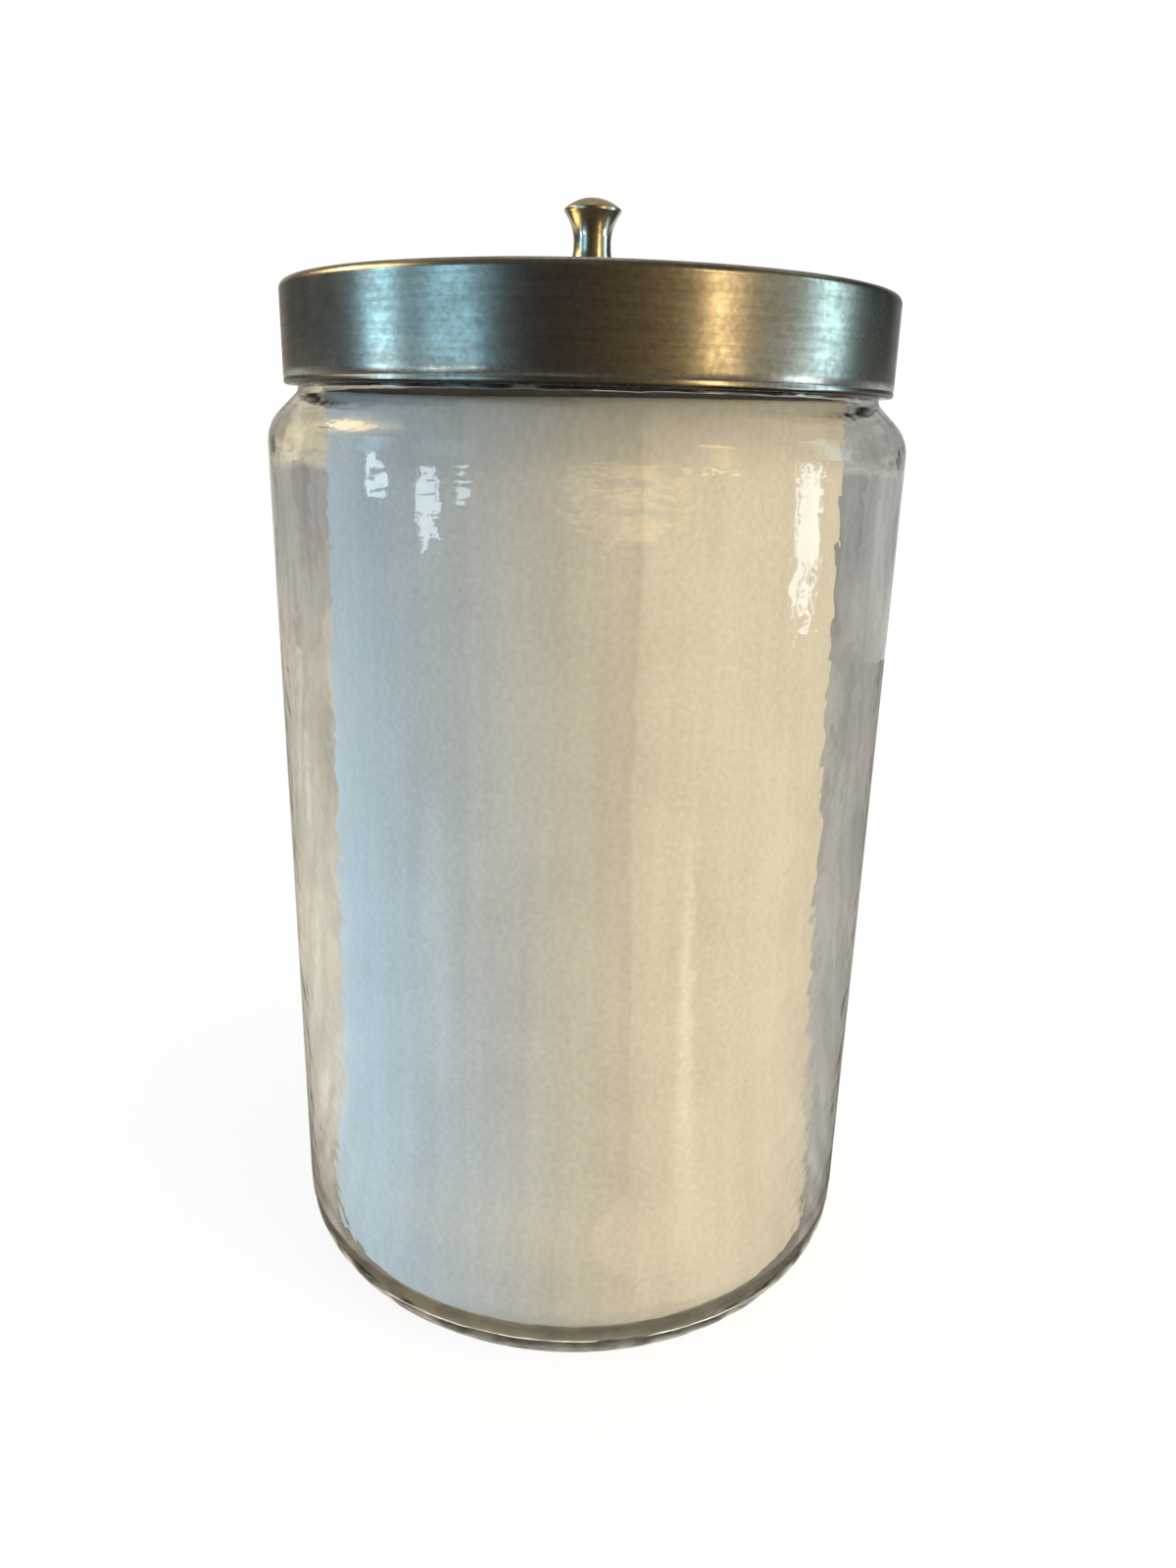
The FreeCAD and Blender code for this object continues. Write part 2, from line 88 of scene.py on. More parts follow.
# Paper liner
PAPER = 0.4 * MM
LAYER_STEP = 0.55 * MM
LAP = math.radians(24)
LINER_FOOT_RADIUS = INSIDE_RADIUS - 2.4 * MM
FLARE_RADIUS = INSIDE_RADIUS - 0.7 * MM
FLARE_FOOT = BASE + INSIDE_HEEL_ROUND
FLARE_TOP = FLARE_FOOT + 10.2 * MM
FLARE_ROUND = 25.0 * MM
FLARE_FOOT_ROUND = 8.0 * MM
WAIST_RADIUS = INSIDE_RADIUS - 2.8 * MM
WAIST = FLARE_TOP + 10.5 * MM
WAIST_ROUND = 35.0 * MM
LINER_TOP_RADIUS = MOUTH_RADIUS - 0.55 * MM
LINER_MEAN_RADIUS = (WAIST_RADIUS + LINER_TOP_RADIUS) / 2
LINER_COLUMNS = 270
LINER_STEP = 1.3 * MM
LINER_LEAN = 0.4 * MM
LINER_SLANT = 0.9 * MM
LINER_WAVE = 0.2 * MM
LINER_FIBRE = 0.15 * MM
# Pattern of the paper: streaks in a metre across and along, and the share of each mark in its tone
STREAKS_ACROSS, STREAKS_ALONG = 260.0, 9.0
STREAK_SHARE, MOTTLE_SHARE, FIBRE_SHARE = 0.25, 0.3, 0.45

# Lid
SHEET = 0.6 * MM
LID_RADIUS = lid_high.x
LID_TOP = lid_high.z
LID_FOOT = lid_low.z
LID_UNDER = LID_TOP - SHEET
LID_CORNER = 1.3 * MM
SKIRT_BORE = LID_RADIUS - SHEET
HEM_BORE = SKIRT_BORE - SHEET
HEM_TOP = LID_FOOT + 2.4 * MM
HEM_ROUND = 0.5 * MM
CREASE = LID_FOOT + 1.05 * MM
CREASE_HALF = 0.3 * MM
CREASE_DEPTH = 0.1 * MM
CREASE_ROUND = 0.3 * MM
SCREW_HOLE = 1.65 * MM
LID_STEP = 1.0 * MM
LID_SEGMENTS = 256
# Where one finish or painted shade of the lid gives way to the next, from and to
INSIDE_EDGE = (LID_RADIUS - 0.5 * MM, LID_RADIUS - 0.3 * MM)
OUTSIDE_EDGE = (LID_RADIUS - 1.0 * MM, LID_RADIUS - 0.6 * MM)
TOP_EDGE = (LID_UNDER, LID_TOP - 0.2 * MM)
HEM_EDGE = (HEM_TOP, HEM_TOP + 1.0 * MM)
# Painted shade: the inside of the hem goes black towards the back
SHADED_HEM_BACK = (10.0 * MM, 20.0 * MM)
# Band along the outside of the foot that is darkened
DARK_FOOT_EDGE = (LID_FOOT + 0.3 * MM, LID_FOOT + 0.6 * MM)

# Knob
KNOB_TOP = knob_high.z
KNOB_FOOT = knob_low.z
KNOB_FOOT_RADIUS = knob_high.x
KNOB_FOOT_EDGE = KNOB_FOOT + 1.2 * MM
KNOB_WAIST = KNOB_FOOT + 8.2 * MM
KNOB_WAIST_RADIUS = 3.1 * MM
KNOB_HEAD = KNOB_FOOT + 12.7 * MM
KNOB_HEAD_RADIUS = 4.7 * MM
KNOB_RIM = KNOB_HEAD + 0.45 * MM
KNOB_EDGE_ROUND = 0.2 * MM
TAP_RADIUS = 1.55 * MM
TAP_END = KNOB_FOOT + 7.0 * MM
TAP_POINT = TAP_END + TAP_RADIUS * math.tan(math.radians(31))
KNOB_STEP = 0.5 * MM
KNOB_SEGMENTS = 112
CROWN_EDGE = (KNOB_HEAD, KNOB_RIM + 0.3 * MM)

# Camera that the photograph's outline gives, for a picture of 1200 by 1600
CAMERA_PLACE = Vector((0.0, -207.39 * MM, 157.44 * MM))
CAMERA_PITCH = math.radians(17.996)
CAMERA_YAW = math.radians(0.4279)
CAMERA_ROLL = math.radians(1.4395)
CAMERA_LENS = 26.07
CAMERA_NEAR = 0.01

# Marks on the surfaces, and steps of the meshes
RIPPLE_DEPTH = 0.05 * MM
SCRATCH_WIDTH, SCRATCH_DEPTH = 0.0015, 0.25
ARC_STEP = math.radians(7.5)
MERGE = 0.001 * MM
SHARP = math.radians(40)


# Node trees

def add(tree, kind, feeds=None, output=0, **settings):
    """Add a node with its options, feed its inputs by name or number, and give one of its outputs."""
    made = tree.nodes.new(kind)
    for name, value in settings.items():
        setattr(made, name, value)
    for key, value in (feeds or {}).items():
        if isinstance(value, bpy.types.NodeSocket):
            tree.links.new(value, made.inputs[key])
        else:
            made.inputs[key].default_value = value
    return made.outputs[output] if made.outputs else made


def sums(tree, operation, *values):
    """Arithmetic on numbers or sockets."""
    return add(tree, "ShaderNodeMath", dict(enumerate(values)), operation=operation)


def vector(tree, x, y, z):
    return add(tree, "ShaderNodeCombineXYZ", {0: x, 1: y, 2: z})


def parts_of(tree, socket):
    """The three numbers of a vector."""
    made = tree.nodes.new("ShaderNodeSeparateXYZ")
    tree.links.new(socket, made.inputs[0])
    return made.outputs


def noise(tree, where, scale, detail=2.0, seed=0.0):
    """Smooth noise from 0 to 1."""
    feeds = {"Vector": where, "W": seed, "Scale": scale, "Detail": detail}
    return add(tree, "ShaderNodeTexNoise", feeds, noise_dimensions="4D")


def spread(tree, value, low, high, to_low, to_high):
    """Move a number from one range to another, held at the ends."""
    feeds = {0: value, 1: low, 2: high, 3: to_low, 4: to_high}
    return add(tree, "ShaderNodeMapRange", feeds)


def geometry_tree(name, inputs):
    """Empty geometry tree with named inputs after its geometry; gives the tree and its input node."""
    tree = bpy.data.node_groups.new(name, "GeometryNodeTree")
    tree.interface.new_socket("Geometry", in_out="INPUT", socket_type="NodeSocketGeometry")
    for label, kind in inputs:
        tree.interface.new_socket(label, in_out="INPUT", socket_type=f"NodeSocket{kind}")
    tree.interface.new_socket("Geometry", in_out="OUTPUT", socket_type="NodeSocketGeometry")
    return tree, tree.nodes.new("NodeGroupInput").outputs


def end_tree(tree, geometry, material):
    """Close a tree: plain mesh out, with its material."""
    plain = add(tree, "GeometryNodeRealizeInstances", {"Geometry": geometry})
    dressed = add(tree, "GeometryNodeSetMaterial", {"Geometry": plain, "Material": material})
    add(tree, "NodeGroupOutput", {0: dressed})


def smooth_but_sharp(tree, geometry):
    """Smooth shading that stops at sharp corners."""
    smooth = add(tree, "GeometryNodeSetShadeSmooth", {"Geometry": geometry})
    angle = add(tree, "GeometryNodeInputMeshEdgeAngle")
    corner = sums(tree, "GREATER_THAN", angle, SHARP)
    feeds = {"Geometry": smooth, "Selection": corner, "Shade Smooth": False}
    return add(tree, "GeometryNodeSetShadeSmooth", feeds, domain="EDGE")


def turning_tree():
    """Turn an outline, points of radius X and height Z in order, into a closed round piece."""
    tree, given = geometry_tree("turned_piece", [
        ("Segments", "Int"),
        ("Ripple Depth", "Float"),
        ("Ripple Size", "Float"),
        ("Ripple Stretch", "Float"),
        ("Seed", "Float"),
        ("Material", "Material"),
    ])
    outline = given["Geometry"]
    count = add(tree, "GeometryNodeAttributeDomainSize", {"Geometry": outline})
    columns = sums(tree, "ADD", given["Segments"], 1)
    grid = add(tree, "GeometryNodeMeshGrid", {"Vertices X": count, "Vertices Y": columns})
    index = add(tree, "GeometryNodeInputIndex")
    row = sums(tree, "FLOOR", sums(tree, "DIVIDE", sums(tree, "ADD", index, 0.5), columns))
    column = sums(tree, "SUBTRACT", index, sums(tree, "MULTIPLY", row, columns))
    feeds = {"Geometry": outline, "Value": add(tree, "GeometryNodeInputPosition"), "Index": row}
    point = add(tree, "GeometryNodeSampleIndex", feeds, data_type="FLOAT_VECTOR")
    radius, _, height = parts_of(tree, point)
    angle = sums(tree, "MULTIPLY", sums(tree, "DIVIDE", column, given["Segments"]), math.tau)
    place = vector(
        tree,
        sums(tree, "MULTIPLY", radius, sums(tree, "COSINE", angle)),
        sums(tree, "MULTIPLY", radius, sums(tree, "SINE", angle)),
        height,
    )
    turned = add(tree, "GeometryNodeSetPosition", {"Geometry": grid, "Position": place})
    closed = add(tree, "GeometryNodeMergeByDistance", {"Geometry": turned, "Distance": MERGE})
    # Slight unevenness along the surface's own normal
    x, y, z = parts_of(tree, add(tree, "GeometryNodeInputPosition"))
    where = vector(tree, x, y, sums(tree, "MULTIPLY", z, given["Ripple Stretch"]))
    fineness = sums(tree, "DIVIDE", 1.0, given["Ripple Size"])
    wave = noise(tree, where, scale=fineness, detail=1.0, seed=given["Seed"])
    lift = sums(tree, "MULTIPLY", sums(tree, "SUBTRACT", wave, 0.5), given["Ripple Depth"])
    normal = add(tree, "GeometryNodeInputNormal")
    offset = add(tree, "ShaderNodeVectorMath", {0: normal, "Scale": lift}, operation="SCALE")
    rippled = add(tree, "GeometryNodeSetPosition", {"Geometry": closed, "Offset": offset})
    end_tree(tree, smooth_but_sharp(tree, rippled), given["Material"])
    return tree


def rolling_tree():
    """Roll a sheet once round an outline, points of radius X and height Z, its ends lapped at the back."""
    tree, given = geometry_tree("rolled_sheet", [
        ("Mean Radius", "Float"),
        ("Layer Step", "Float"),
        ("Lap", "Float"),
        ("Columns", "Int"),
        ("Lean", "Float"),
        ("Lean Foot", "Float"),
        ("Lean Top", "Float"),
        ("Slant", "Float"),
        ("Wave Depth", "Float"),
        ("Fibre Depth", "Float"),
        ("Seed", "Float"),
        ("Material", "Material"),
    ])
    outline = given["Geometry"]
    count = add(tree, "GeometryNodeAttributeDomainSize", {"Geometry": outline})
    feeds = {"Size X": 1.0, "Size Y": 1.0, "Vertices X": given["Columns"], "Vertices Y": count}
    grid = add(tree, "GeometryNodeMeshGrid", feeds)
    across, along, _ = parts_of(tree, add(tree, "GeometryNodeInputPosition"))
    last = sums(tree, "SUBTRACT", count, 1)
    row = sums(tree, "ROUND", sums(tree, "MULTIPLY", sums(tree, "ADD", along, 0.5), last))
    feeds = {"Geometry": outline, "Value": add(tree, "GeometryNodeInputPosition"), "Index": row}
    point = add(tree, "GeometryNodeSampleIndex", feeds, data_type="FLOAT_VECTOR")
    outer, _, height = parts_of(tree, point)
    whole = sums(tree, "ADD", given["Lap"], math.tau)
    turn = sums(tree, "MULTIPLY", sums(tree, "ADD", across, 0.5), whole)
    angle = sums(tree, "ADD", turn, math.pi / 2)
    cosine, sine = sums(tree, "COSINE", angle), sums(tree, "SINE", angle)
    # The second half turn draws in by one layer, so that the lap lies behind the first end
    second = spread(tree, turn, math.pi, math.tau, math.pi, math.tau)
    drawn_in = sums(tree, "MULTIPLY", sums(tree, "ADD", sums(tree, "COSINE", second), 1.0), 0.5)
    wound = sums(tree, "MULTIPLY", drawn_in, given["Layer Step"])
    # The sheet only waves inwards, so that it stays clear of the glass
    round_it = vector(tree, cosine, sine, sums(tree, "DIVIDE", height, given["Mean Radius"]))
    wave = noise(tree, round_it, scale=2.2, detail=1.0, seed=given["Seed"])
    wave = sums(tree, "MULTIPLY", wave, given["Wave Depth"])
    fibre = noise(tree, round_it, scale=38.0, detail=2.0, seed=given["Seed"])
    fibre = sums(tree, "MULTIPLY", fibre, given["Fibre Depth"])
    radius = sums(tree, "SUBTRACT", outer, sums(tree, "ADD", wound, sums(tree, "ADD", wave, fibre)))
    left = sums(tree, "MULTIPLY", given["Lean"], -1.0)
    lean = spread(tree, height, given["Lean Foot"], given["Lean Top"], given["Lean"], left)
    stand = spread(tree, height, 0.0, given["Lean Foot"], 0.0, 1.0)
    # The top edge is cut a little askew, higher on the right
    slant = spread(tree, height, given["Lean Foot"], given["Lean Top"], 0.0, given["Slant"])
    place = vector(
        tree,
        sums(tree, "ADD", sums(tree, "MULTIPLY", radius, cosine), sums(tree, "MULTIPLY", lean, stand)),
        sums(tree, "MULTIPLY", radius, sine),
        sums(tree, "ADD", height, sums(tree, "MULTIPLY", slant, cosine)),
    )
    sheet_across = sums(tree, "MULTIPLY", turn, given["Mean Radius"])
    feeds = {
        "Geometry": grid,
        "Name": "UVMap",
        "Value": vector(tree, sheet_across, height, 0.0),
    }
    mapped = add(tree, "GeometryNodeStoreNamedAttribute", feeds, data_type="FLOAT2", domain="CORNER")
    rolled = add(tree, "GeometryNodeSetPosition", {"Geometry": mapped, "Position": place})
    smooth = add(tree, "GeometryNodeSetShadeSmooth", {"Geometry": rolled})
    end_tree(tree, smooth, given["Material"])
    return tree


def grown(name, mesh, tree, inputs, thickness=None):
    """Object whose mesh is what a geometry tree gives for these inputs, as a plain mesh at the origin."""
    piece = bpy.data.objects.new(name, mesh)
    bpy.context.scene.collection.objects.link(piece)
    modifier = piece.modifiers.new(tree.name, "NODES")
    modifier.node_group = tree
    for item in tree.interface.items_tree:
        if item.in_out == "INPUT" and item.name in inputs:
            modifier[item.identifier] = inputs[item.name]
    if thickness:
        wall = piece.modifiers.new("thickness", "SOLIDIFY")
        wall.thickness = thickness
        wall.offset = -1.0
    graph = bpy.context.evaluated_depsgraph_get()
    plain = bpy.data.meshes.new_from_object(
        piece.evaluated_get(graph), preserve_all_data_layers=True, depsgraph=graph
    )
    piece.modifiers.clear()
    piece.data = plain
    plain.name = name
    bpy.data.meshes.remove(mesh)
    return piece


# Outlines: points of radius, height and the round at that corner

def arc(centre, radius, first, last):
    """Points on an arc, from one angle to another."""
    count = max(2, math.ceil(abs(last - first) / ARC_STEP))
    angles = [first + (last - first) * step / count for step in range(count + 1)]
    return [(centre[0] + radius * math.cos(a), centre[1] + radius * math.sin(a), 0.0) for a in angles]


def dome(rim, foot, top):
    """Shallow round cap from the axis out to its rim."""
    rise = top - foot
    radius = (rim ** 2 + rise ** 2) / (2 * abs(rise))
    centre = (0.0, top - math.copysign(radius, rise))
    edge = math.atan2(foot - centre[1], rim)
    points = arc(centre, radius, math.copysign(math.pi / 2, rise), edge)
    return [(0.0, top, 0.0)] + points[1:]


def flare(waist, edge):
    """Hollow arc from the waist out to an edge, upright at the waist."""
    across, along = edge[0] - waist[0], edge[1] - waist[1]
    radius = (across ** 2 + along ** 2) / (2 * across)
    centre = (waist[0] + radius, waist[1])
    end = math.atan2(along, edge[0] - centre[0])
    return arc(centre, radius, math.copysign(math.pi, along), end)


def rounded(corners):
    """Replace each corner that has a round by an arc that leaves both sides smoothly."""
    points = []
    for number, (radius, height, bend) in enumerate(corners):
        here = Vector((radius, height))
        if not bend:
            points.append(here)
            continue
        before = (Vector(corners[number - 1][:2]) - here).normalized()
        after = (Vector(corners[number + 1][:2]) - here).normalized()
        half = before.angle(after) / 2
        centre = here + (before + after).normalized() * bend / math.sin(half)
        reach = bend / math.tan(half)
        start, end = here + before * reach - centre, here + after * reach - centre
        first = math.atan2(start.y, start.x)
        swing = math.remainder(math.atan2(end.y, end.x) - first, math.tau)
        points.extend(Vector(p[:2]) for p in arc(centre, bend, first, first + swing))
    return points


def stepped(points, step):
    """Divide long stretches, so that no two points are further apart than a step."""
    filled = [points[0]]
    for start, end in zip(points, points[1:]):
        count = max(1, math.ceil((end - start).length / step))
        filled.extend(start.lerp(end, part / count) for part in range(1, count + 1))
    return filled


def outline_mesh(name, corners, step):
    """Mesh of points that follow an outline and its rounds in order."""
    mesh = bpy.data.meshes.new(name)
    points = stepped(rounded(corners), step)
    mesh.from_pydata([(p.x, 0.0, p.y) for p in points], [], [])
    return mesh


def jar_outline():
    """From the middle of the floor up the inside, over the lip and down the outside to the base."""
    floor = dome(PUSH_UP_RADIUS, BASE, BASE + FLOOR_CROWN)
    push_up = dome(PUSH_UP_RADIUS, 0.0, PUSH_UP_DEPTH)
    return floor + [
        (INSIDE_RADIUS, BASE, INSIDE_HEEL_ROUND),
        (INSIDE_RADIUS, SHOULDER - INSIDE_DROP, INSIDE_SHOULDER_ROUND),
        (MOUTH_RADIUS, INSIDE_NECK_FOOT, INSIDE_COVE_ROUND),
        (MOUTH_RADIUS, RIM_HEIGHT, LIP_ROUND),
        (NECK_RADIUS, RIM_HEIGHT, LIP_ROUND),
        (NECK_RADIUS, NECK_FOOT, COVE_ROUND),
        (BODY_RADIUS, SHOULDER, SHOULDER_ROUND),
        (BODY_RADIUS, 0.0, HEEL_ROUND),
    ] + push_up[::-1]


def liner_outline():
    """Outside of the rolled sheet: spread near its foot and drawn in to the mouth's width at its top."""
    return [
        (LINER_FOOT_RADIUS, liner_low.z, 0.0),
        (FLARE_RADIUS, FLARE_FOOT, FLARE_FOOT_ROUND),
        (FLARE_RADIUS, FLARE_TOP, FLARE_ROUND),
        (WAIST_RADIUS, WAIST, WAIST_ROUND),
        (LINER_TOP_RADIUS, liner_high.z, 0.0),
    ]


def lid_outline():
    """Round the metal of the lid: over the top, down the skirt, in at the hem and back under the top."""
    return [
        (SCREW_HOLE, LID_UNDER, 0.0),
        (SCREW_HOLE, LID_TOP, 0.0),
        (LID_RADIUS, LID_TOP, LID_CORNER),
        (LID_RADIUS, CREASE + CREASE_HALF, 0.0),
        (LID_RADIUS - CREASE_DEPTH, CREASE, CREASE_ROUND),
        (LID_RADIUS, CREASE - CREASE_HALF, 0.0),
        (LID_RADIUS, LID_FOOT, HEM_ROUND),
        (HEM_BORE, LID_FOOT, HEM_ROUND),
        (HEM_BORE, HEM_TOP, 0.0),
        (SKIRT_BORE, HEM_TOP, 0.0),
        (SKIRT_BORE, LID_UNDER, LID_CORNER - SHEET),
        (SCREW_HOLE, LID_UNDER, 0.0),
    ]


def knob_outline():
    """Crown, head, hollow waist and foot, then up the tapped hole."""
    waist = (KNOB_WAIST_RADIUS, KNOB_WAIST)
    upper = flare(waist, (KNOB_HEAD_RADIUS, KNOB_HEAD))
    lower = flare(waist, (KNOB_FOOT_RADIUS, KNOB_FOOT_EDGE))
    crown = dome(KNOB_HEAD_RADIUS, KNOB_RIM, KNOB_TOP)
    rim = [(KNOB_HEAD_RADIUS, height, KNOB_EDGE_ROUND) for height in (KNOB_RIM, KNOB_HEAD)]
    return crown[:-1] + rim + upper[::-1][1:] + lower[1:-1] + [
        (KNOB_FOOT_RADIUS, KNOB_FOOT_EDGE, KNOB_EDGE_ROUND),
        (KNOB_FOOT_RADIUS, KNOB_FOOT, 0.0),
        (TAP_RADIUS, KNOB_FOOT, 0.0),
        (TAP_RADIUS, TAP_END, 0.0),
        (0.0, TAP_POINT, 0.0),
    ]


# Finishes

def new_material(name):
    """Material with its tree, its shader and the coordinates that its patterns follow."""
    material = bpy.data.materials.new(name)
    material.use_nodes = True
    tree = material.node_tree
    shader = tree.nodes["Principled BSDF"]
    place = tree.nodes.new("ShaderNodeTexCoord")
    return material, tree, shader, place


def feed(tree, shader, **values):
    """Feed the shader's sockets; an underscore stands for a space in a socket's name."""
    for name, value in values.items():
        socket = shader.inputs[name.replace("_", " ")]
        if isinstance(value, bpy.types.NodeSocket):
            tree.links.new(value, socket)
        else:
            socket.default_value = value


def blend_colour(tree, share, first, second):
    feeds = {0: share, 6: first, 7: second}
    return add(tree, "ShaderNodeMix", feeds, output=2, data_type="RGBA")


def colour(red, green, blue):
    return (red, green, blue, 1.0)


def bump(tree, height, distance, strength=1.0):
    feeds = {"Height": height, "Distance": distance, "Strength": strength}
    return add(tree, "ShaderNodeBump", feeds)


def round_coordinates(tree, place, along, across):
    """Pattern space that runs round the axis: stretched along the turning, tight across it."""
    x, y, z = parts_of(tree, place.outputs["Object"])
    squares = [sums(tree, "MULTIPLY", part, part) for part in (x, y)]
    radius = sums(tree, "SQRT", sums(tree, "ADD", *squares))
    safe = sums(tree, "MAXIMUM", radius, MERGE)
    return vector(
        tree,
        sums(tree, "MULTIPLY", sums(tree, "DIVIDE", x, safe), along),
        sums(tree, "MULTIPLY", sums(tree, "DIVIDE", y, safe), along),
        sums(tree, "MULTIPLY", sums(tree, "SUBTRACT", radius, z), across),
    )


def clear_glass():
    """Old clear glass: slightly smeared and rippled, with a faint olive grey in thick stretches."""
    material, tree, shader, place = new_material("clear_glass")
    smear = noise(tree, place.outputs["Object"], scale=60.0, detail=4.0, seed=3.0)
    x, y, z = parts_of(tree, place.outputs["Object"])
    upright = sums(tree, "MULTIPLY", z, GRAIN_STRETCH)
    grain = noise(tree, vector(tree, x, y, upright), scale=620.0, detail=2.0, seed=5.0)
    # The front of this jar is wavier than its sides, most of all below the shoulder
    waves = noise(tree, place.outputs["Object"], scale=250.0, detail=1.0, seed=6.0)
    waved = spread(tree, y, *WAVY_FRONT, *WAVES)
    ring_space = round_coordinates(tree, place, along=4.0, across=300.0)
    rings = noise(tree, ring_space, scale=1.0, detail=2.0, seed=9.0)
    ringed = spread(tree, z, *RING_HEIGHTS, 0.0, 1.0)
    ringed = sums(tree, "MULTIPLY", ringed, spread(tree, y, *WAVY_FRONT, *RINGS))
    relief = sums(tree, "ADD", grain, sums(tree, "MULTIPLY", waves, waved))
    relief = sums(tree, "ADD", relief, sums(tree, "MULTIPLY", rings, ringed))
    feed(
        tree,
        shader,
        Base_Color=colour(1.0, 1.0, 1.0),
        Transmission_Weight=1.0,
        IOR=1.5,
        Roughness=spread(tree, smear, 0.45, 0.75, 0.0, 0.04),
        Normal=bump(tree, relief, distance=0.006 * MM),
    )
    lamp_ray = add(tree, "ShaderNodeLightPath", output="Is Shadow Ray")
    through = add(tree, "ShaderNodeBsdfTransparent")
    output = tree.nodes["Material Output"]
    mixed = add(tree, "ShaderNodeMixShader", {0: lamp_ray, 1: shader.outputs[0], 2: through})
    tree.links.new(mixed, output.inputs["Surface"])
    feeds = {"Color": colour(0.62, 0.58, 0.46), "Density": 11.0}
    tree.links.new(add(tree, "ShaderNodeVolumeAbsorption", feeds), output.inputs["Volume"])
    return material


def white_paper():
    """Matt white sheet with fine fibre, faint upright streaks and a little mottling."""
    material, tree, shader, place = new_material("white_paper")
    u, v, _ = parts_of(tree, place.outputs["UV"])
    across, along = sums(tree, "MULTIPLY", u, STREAKS_ACROSS), sums(tree, "MULTIPLY", v, STREAKS_ALONG)
    streak = noise(tree, vector(tree, across, along, 0.0), scale=1.0, detail=3.0, seed=1.0)
    mottle = noise(tree, place.outputs["UV"], scale=70.0, detail=3.0, seed=2.0)
    fibre = noise(tree, place.outputs["UV"], scale=1000.0, detail=3.0, seed=4.0)
    tone = sums(tree, "MULTIPLY", streak, STREAK_SHARE)
    tone = sums(tree, "ADD", tone, sums(tree, "MULTIPLY", mottle, MOTTLE_SHARE))
    tone = sums(tree, "ADD", tone, sums(tree, "MULTIPLY", fibre, FIBRE_SHARE))
    pale, dull = colour(0.83, 0.815, 0.785), colour(0.65, 0.635, 0.605)
    feed(
        tree,
        shader,
        Base_Color=blend_colour(tree, spread(tree, tone, 0.35, 0.65, 0.0, 1.0), dull, pale),
        Roughness=spread(tree, fibre, 0.3, 0.7, 0.82, 0.95),
        Specular_IOR_Level=0.25,
        Normal=bump(tree, fibre, distance=0.05 * MM, strength=0.5),
    )
    return material


def brushed_metal(name, bright, worn, smoothness, across):
    """Metal brushed round its axis, with fine grain, mottled wear and hairline scratches."""
    material, tree, shader, place = new_material(name)
    brushed = round_coordinates(tree, place, along=5.0, across=across)
    fine = noise(tree, brushed, scale=1.0, detail=3.0, seed=1.0)
    grain = noise(tree, place.outputs["Object"], scale=1100.0, detail=3.0, seed=2.0)
    mottle = noise(tree, place.outputs["Object"], scale=230.0, detail=5.0, seed=3.0)
    hair = noise(tree, place.outputs["Object"], scale=45.0, detail=1.0, seed=6.0)
    off_line = sums(tree, "ABSOLUTE", sums(tree, "SUBTRACT", hair, 0.5))
    scratch = spread(tree, off_line, 0.0, SCRATCH_WIDTH, 1.0, 0.0)
    lines = sums(tree, "MULTIPLY", sums(tree, "ADD", fine, grain), 0.5)
    patches = spread(tree, mottle, 0.35, 0.65, 0.0, 0.4)
    shade = sums(tree, "ADD", patches, spread(tree, lines, 0.4, 0.6, 0.0, 0.6))
    rough = sums(tree, "ADD", spread(tree, mottle, 0.3, 0.7, 0.05, -0.05), smoothness)
    rough = sums(tree, "ADD", rough, spread(tree, lines, 0.3, 0.7, 0.03, -0.03))
    height = sums(tree, "ADD", lines, sums(tree, "MULTIPLY", scratch, -SCRATCH_DEPTH))
    feed(
        tree,
        shader,
        Base_Color=blend_colour(tree, shade, worn, bright),
        Metallic=1.0,
        Roughness=rough,
        Normal=bump(tree, height, distance=0.012 * MM, strength=0.35),
    )
    return material, tree, shader, place


def lid_metal():
    """Worn sheet metal, dull inside, with painted shade in black on the inside of its hem at the back, and
    darkened along the outside of its foot.
    """
    bright, worn = colour(0.66, 0.645, 0.595), colour(0.36, 0.345, 0.31)
    # Black for the painted shade inside the back of the hem, and for the darkened foot
    unpolished, shade_and_foot_black = colour(0.30, 0.29, 0.265), colour(0.07, 0.065, 0.058)
    made = brushed_metal("worn_lid_metal", bright, worn, smoothness=0.25, across=1500.0)
    material, tree, shader, place = made
    x, y, z = parts_of(tree, place.outputs["Object"])
    flat = vector(tree, x, y, 0.0)
    radius = add(tree, "ShaderNodeVectorMath", {0: flat}, output="Value", operation="LENGTH")
    inside = spread(tree, radius, *INSIDE_EDGE, 1.0, 0.0)
    inside = sums(tree, "MULTIPLY", inside, spread(tree, z, *TOP_EDGE, 1.0, 0.0))
    # Painted shade: black on the inside of the hem, below its top and towards the back
    above = spread(tree, z, *HEM_EDGE, 0.0, 1.0)
    back = spread(tree, y, *SHADED_HEM_BACK, 0.0, 1.0)
    hem = sums(tree, "MULTIPLY", sums(tree, "SUBTRACT", inside, above), back)
    # Darkened band along the outside of the foot
    outside = spread(tree, radius, *OUTSIDE_EDGE, 0.0, 1.0)
    foot = sums(tree, "MULTIPLY", outside, spread(tree, z, *DARK_FOOT_EDGE, 1.0, 0.0))
    hem_shade_and_dark_foot = sums(tree, "MAXIMUM", hem, foot)
    metal = shader.inputs["Base Color"].links[0].from_socket
    dull = blend_colour(tree, sums(tree, "MULTIPLY", inside, above), metal, unpolished)
    feed(tree, shader, Base_Color=blend_colour(tree, hem_shade_and_dark_foot, dull, shade_and_foot_black))
    return material


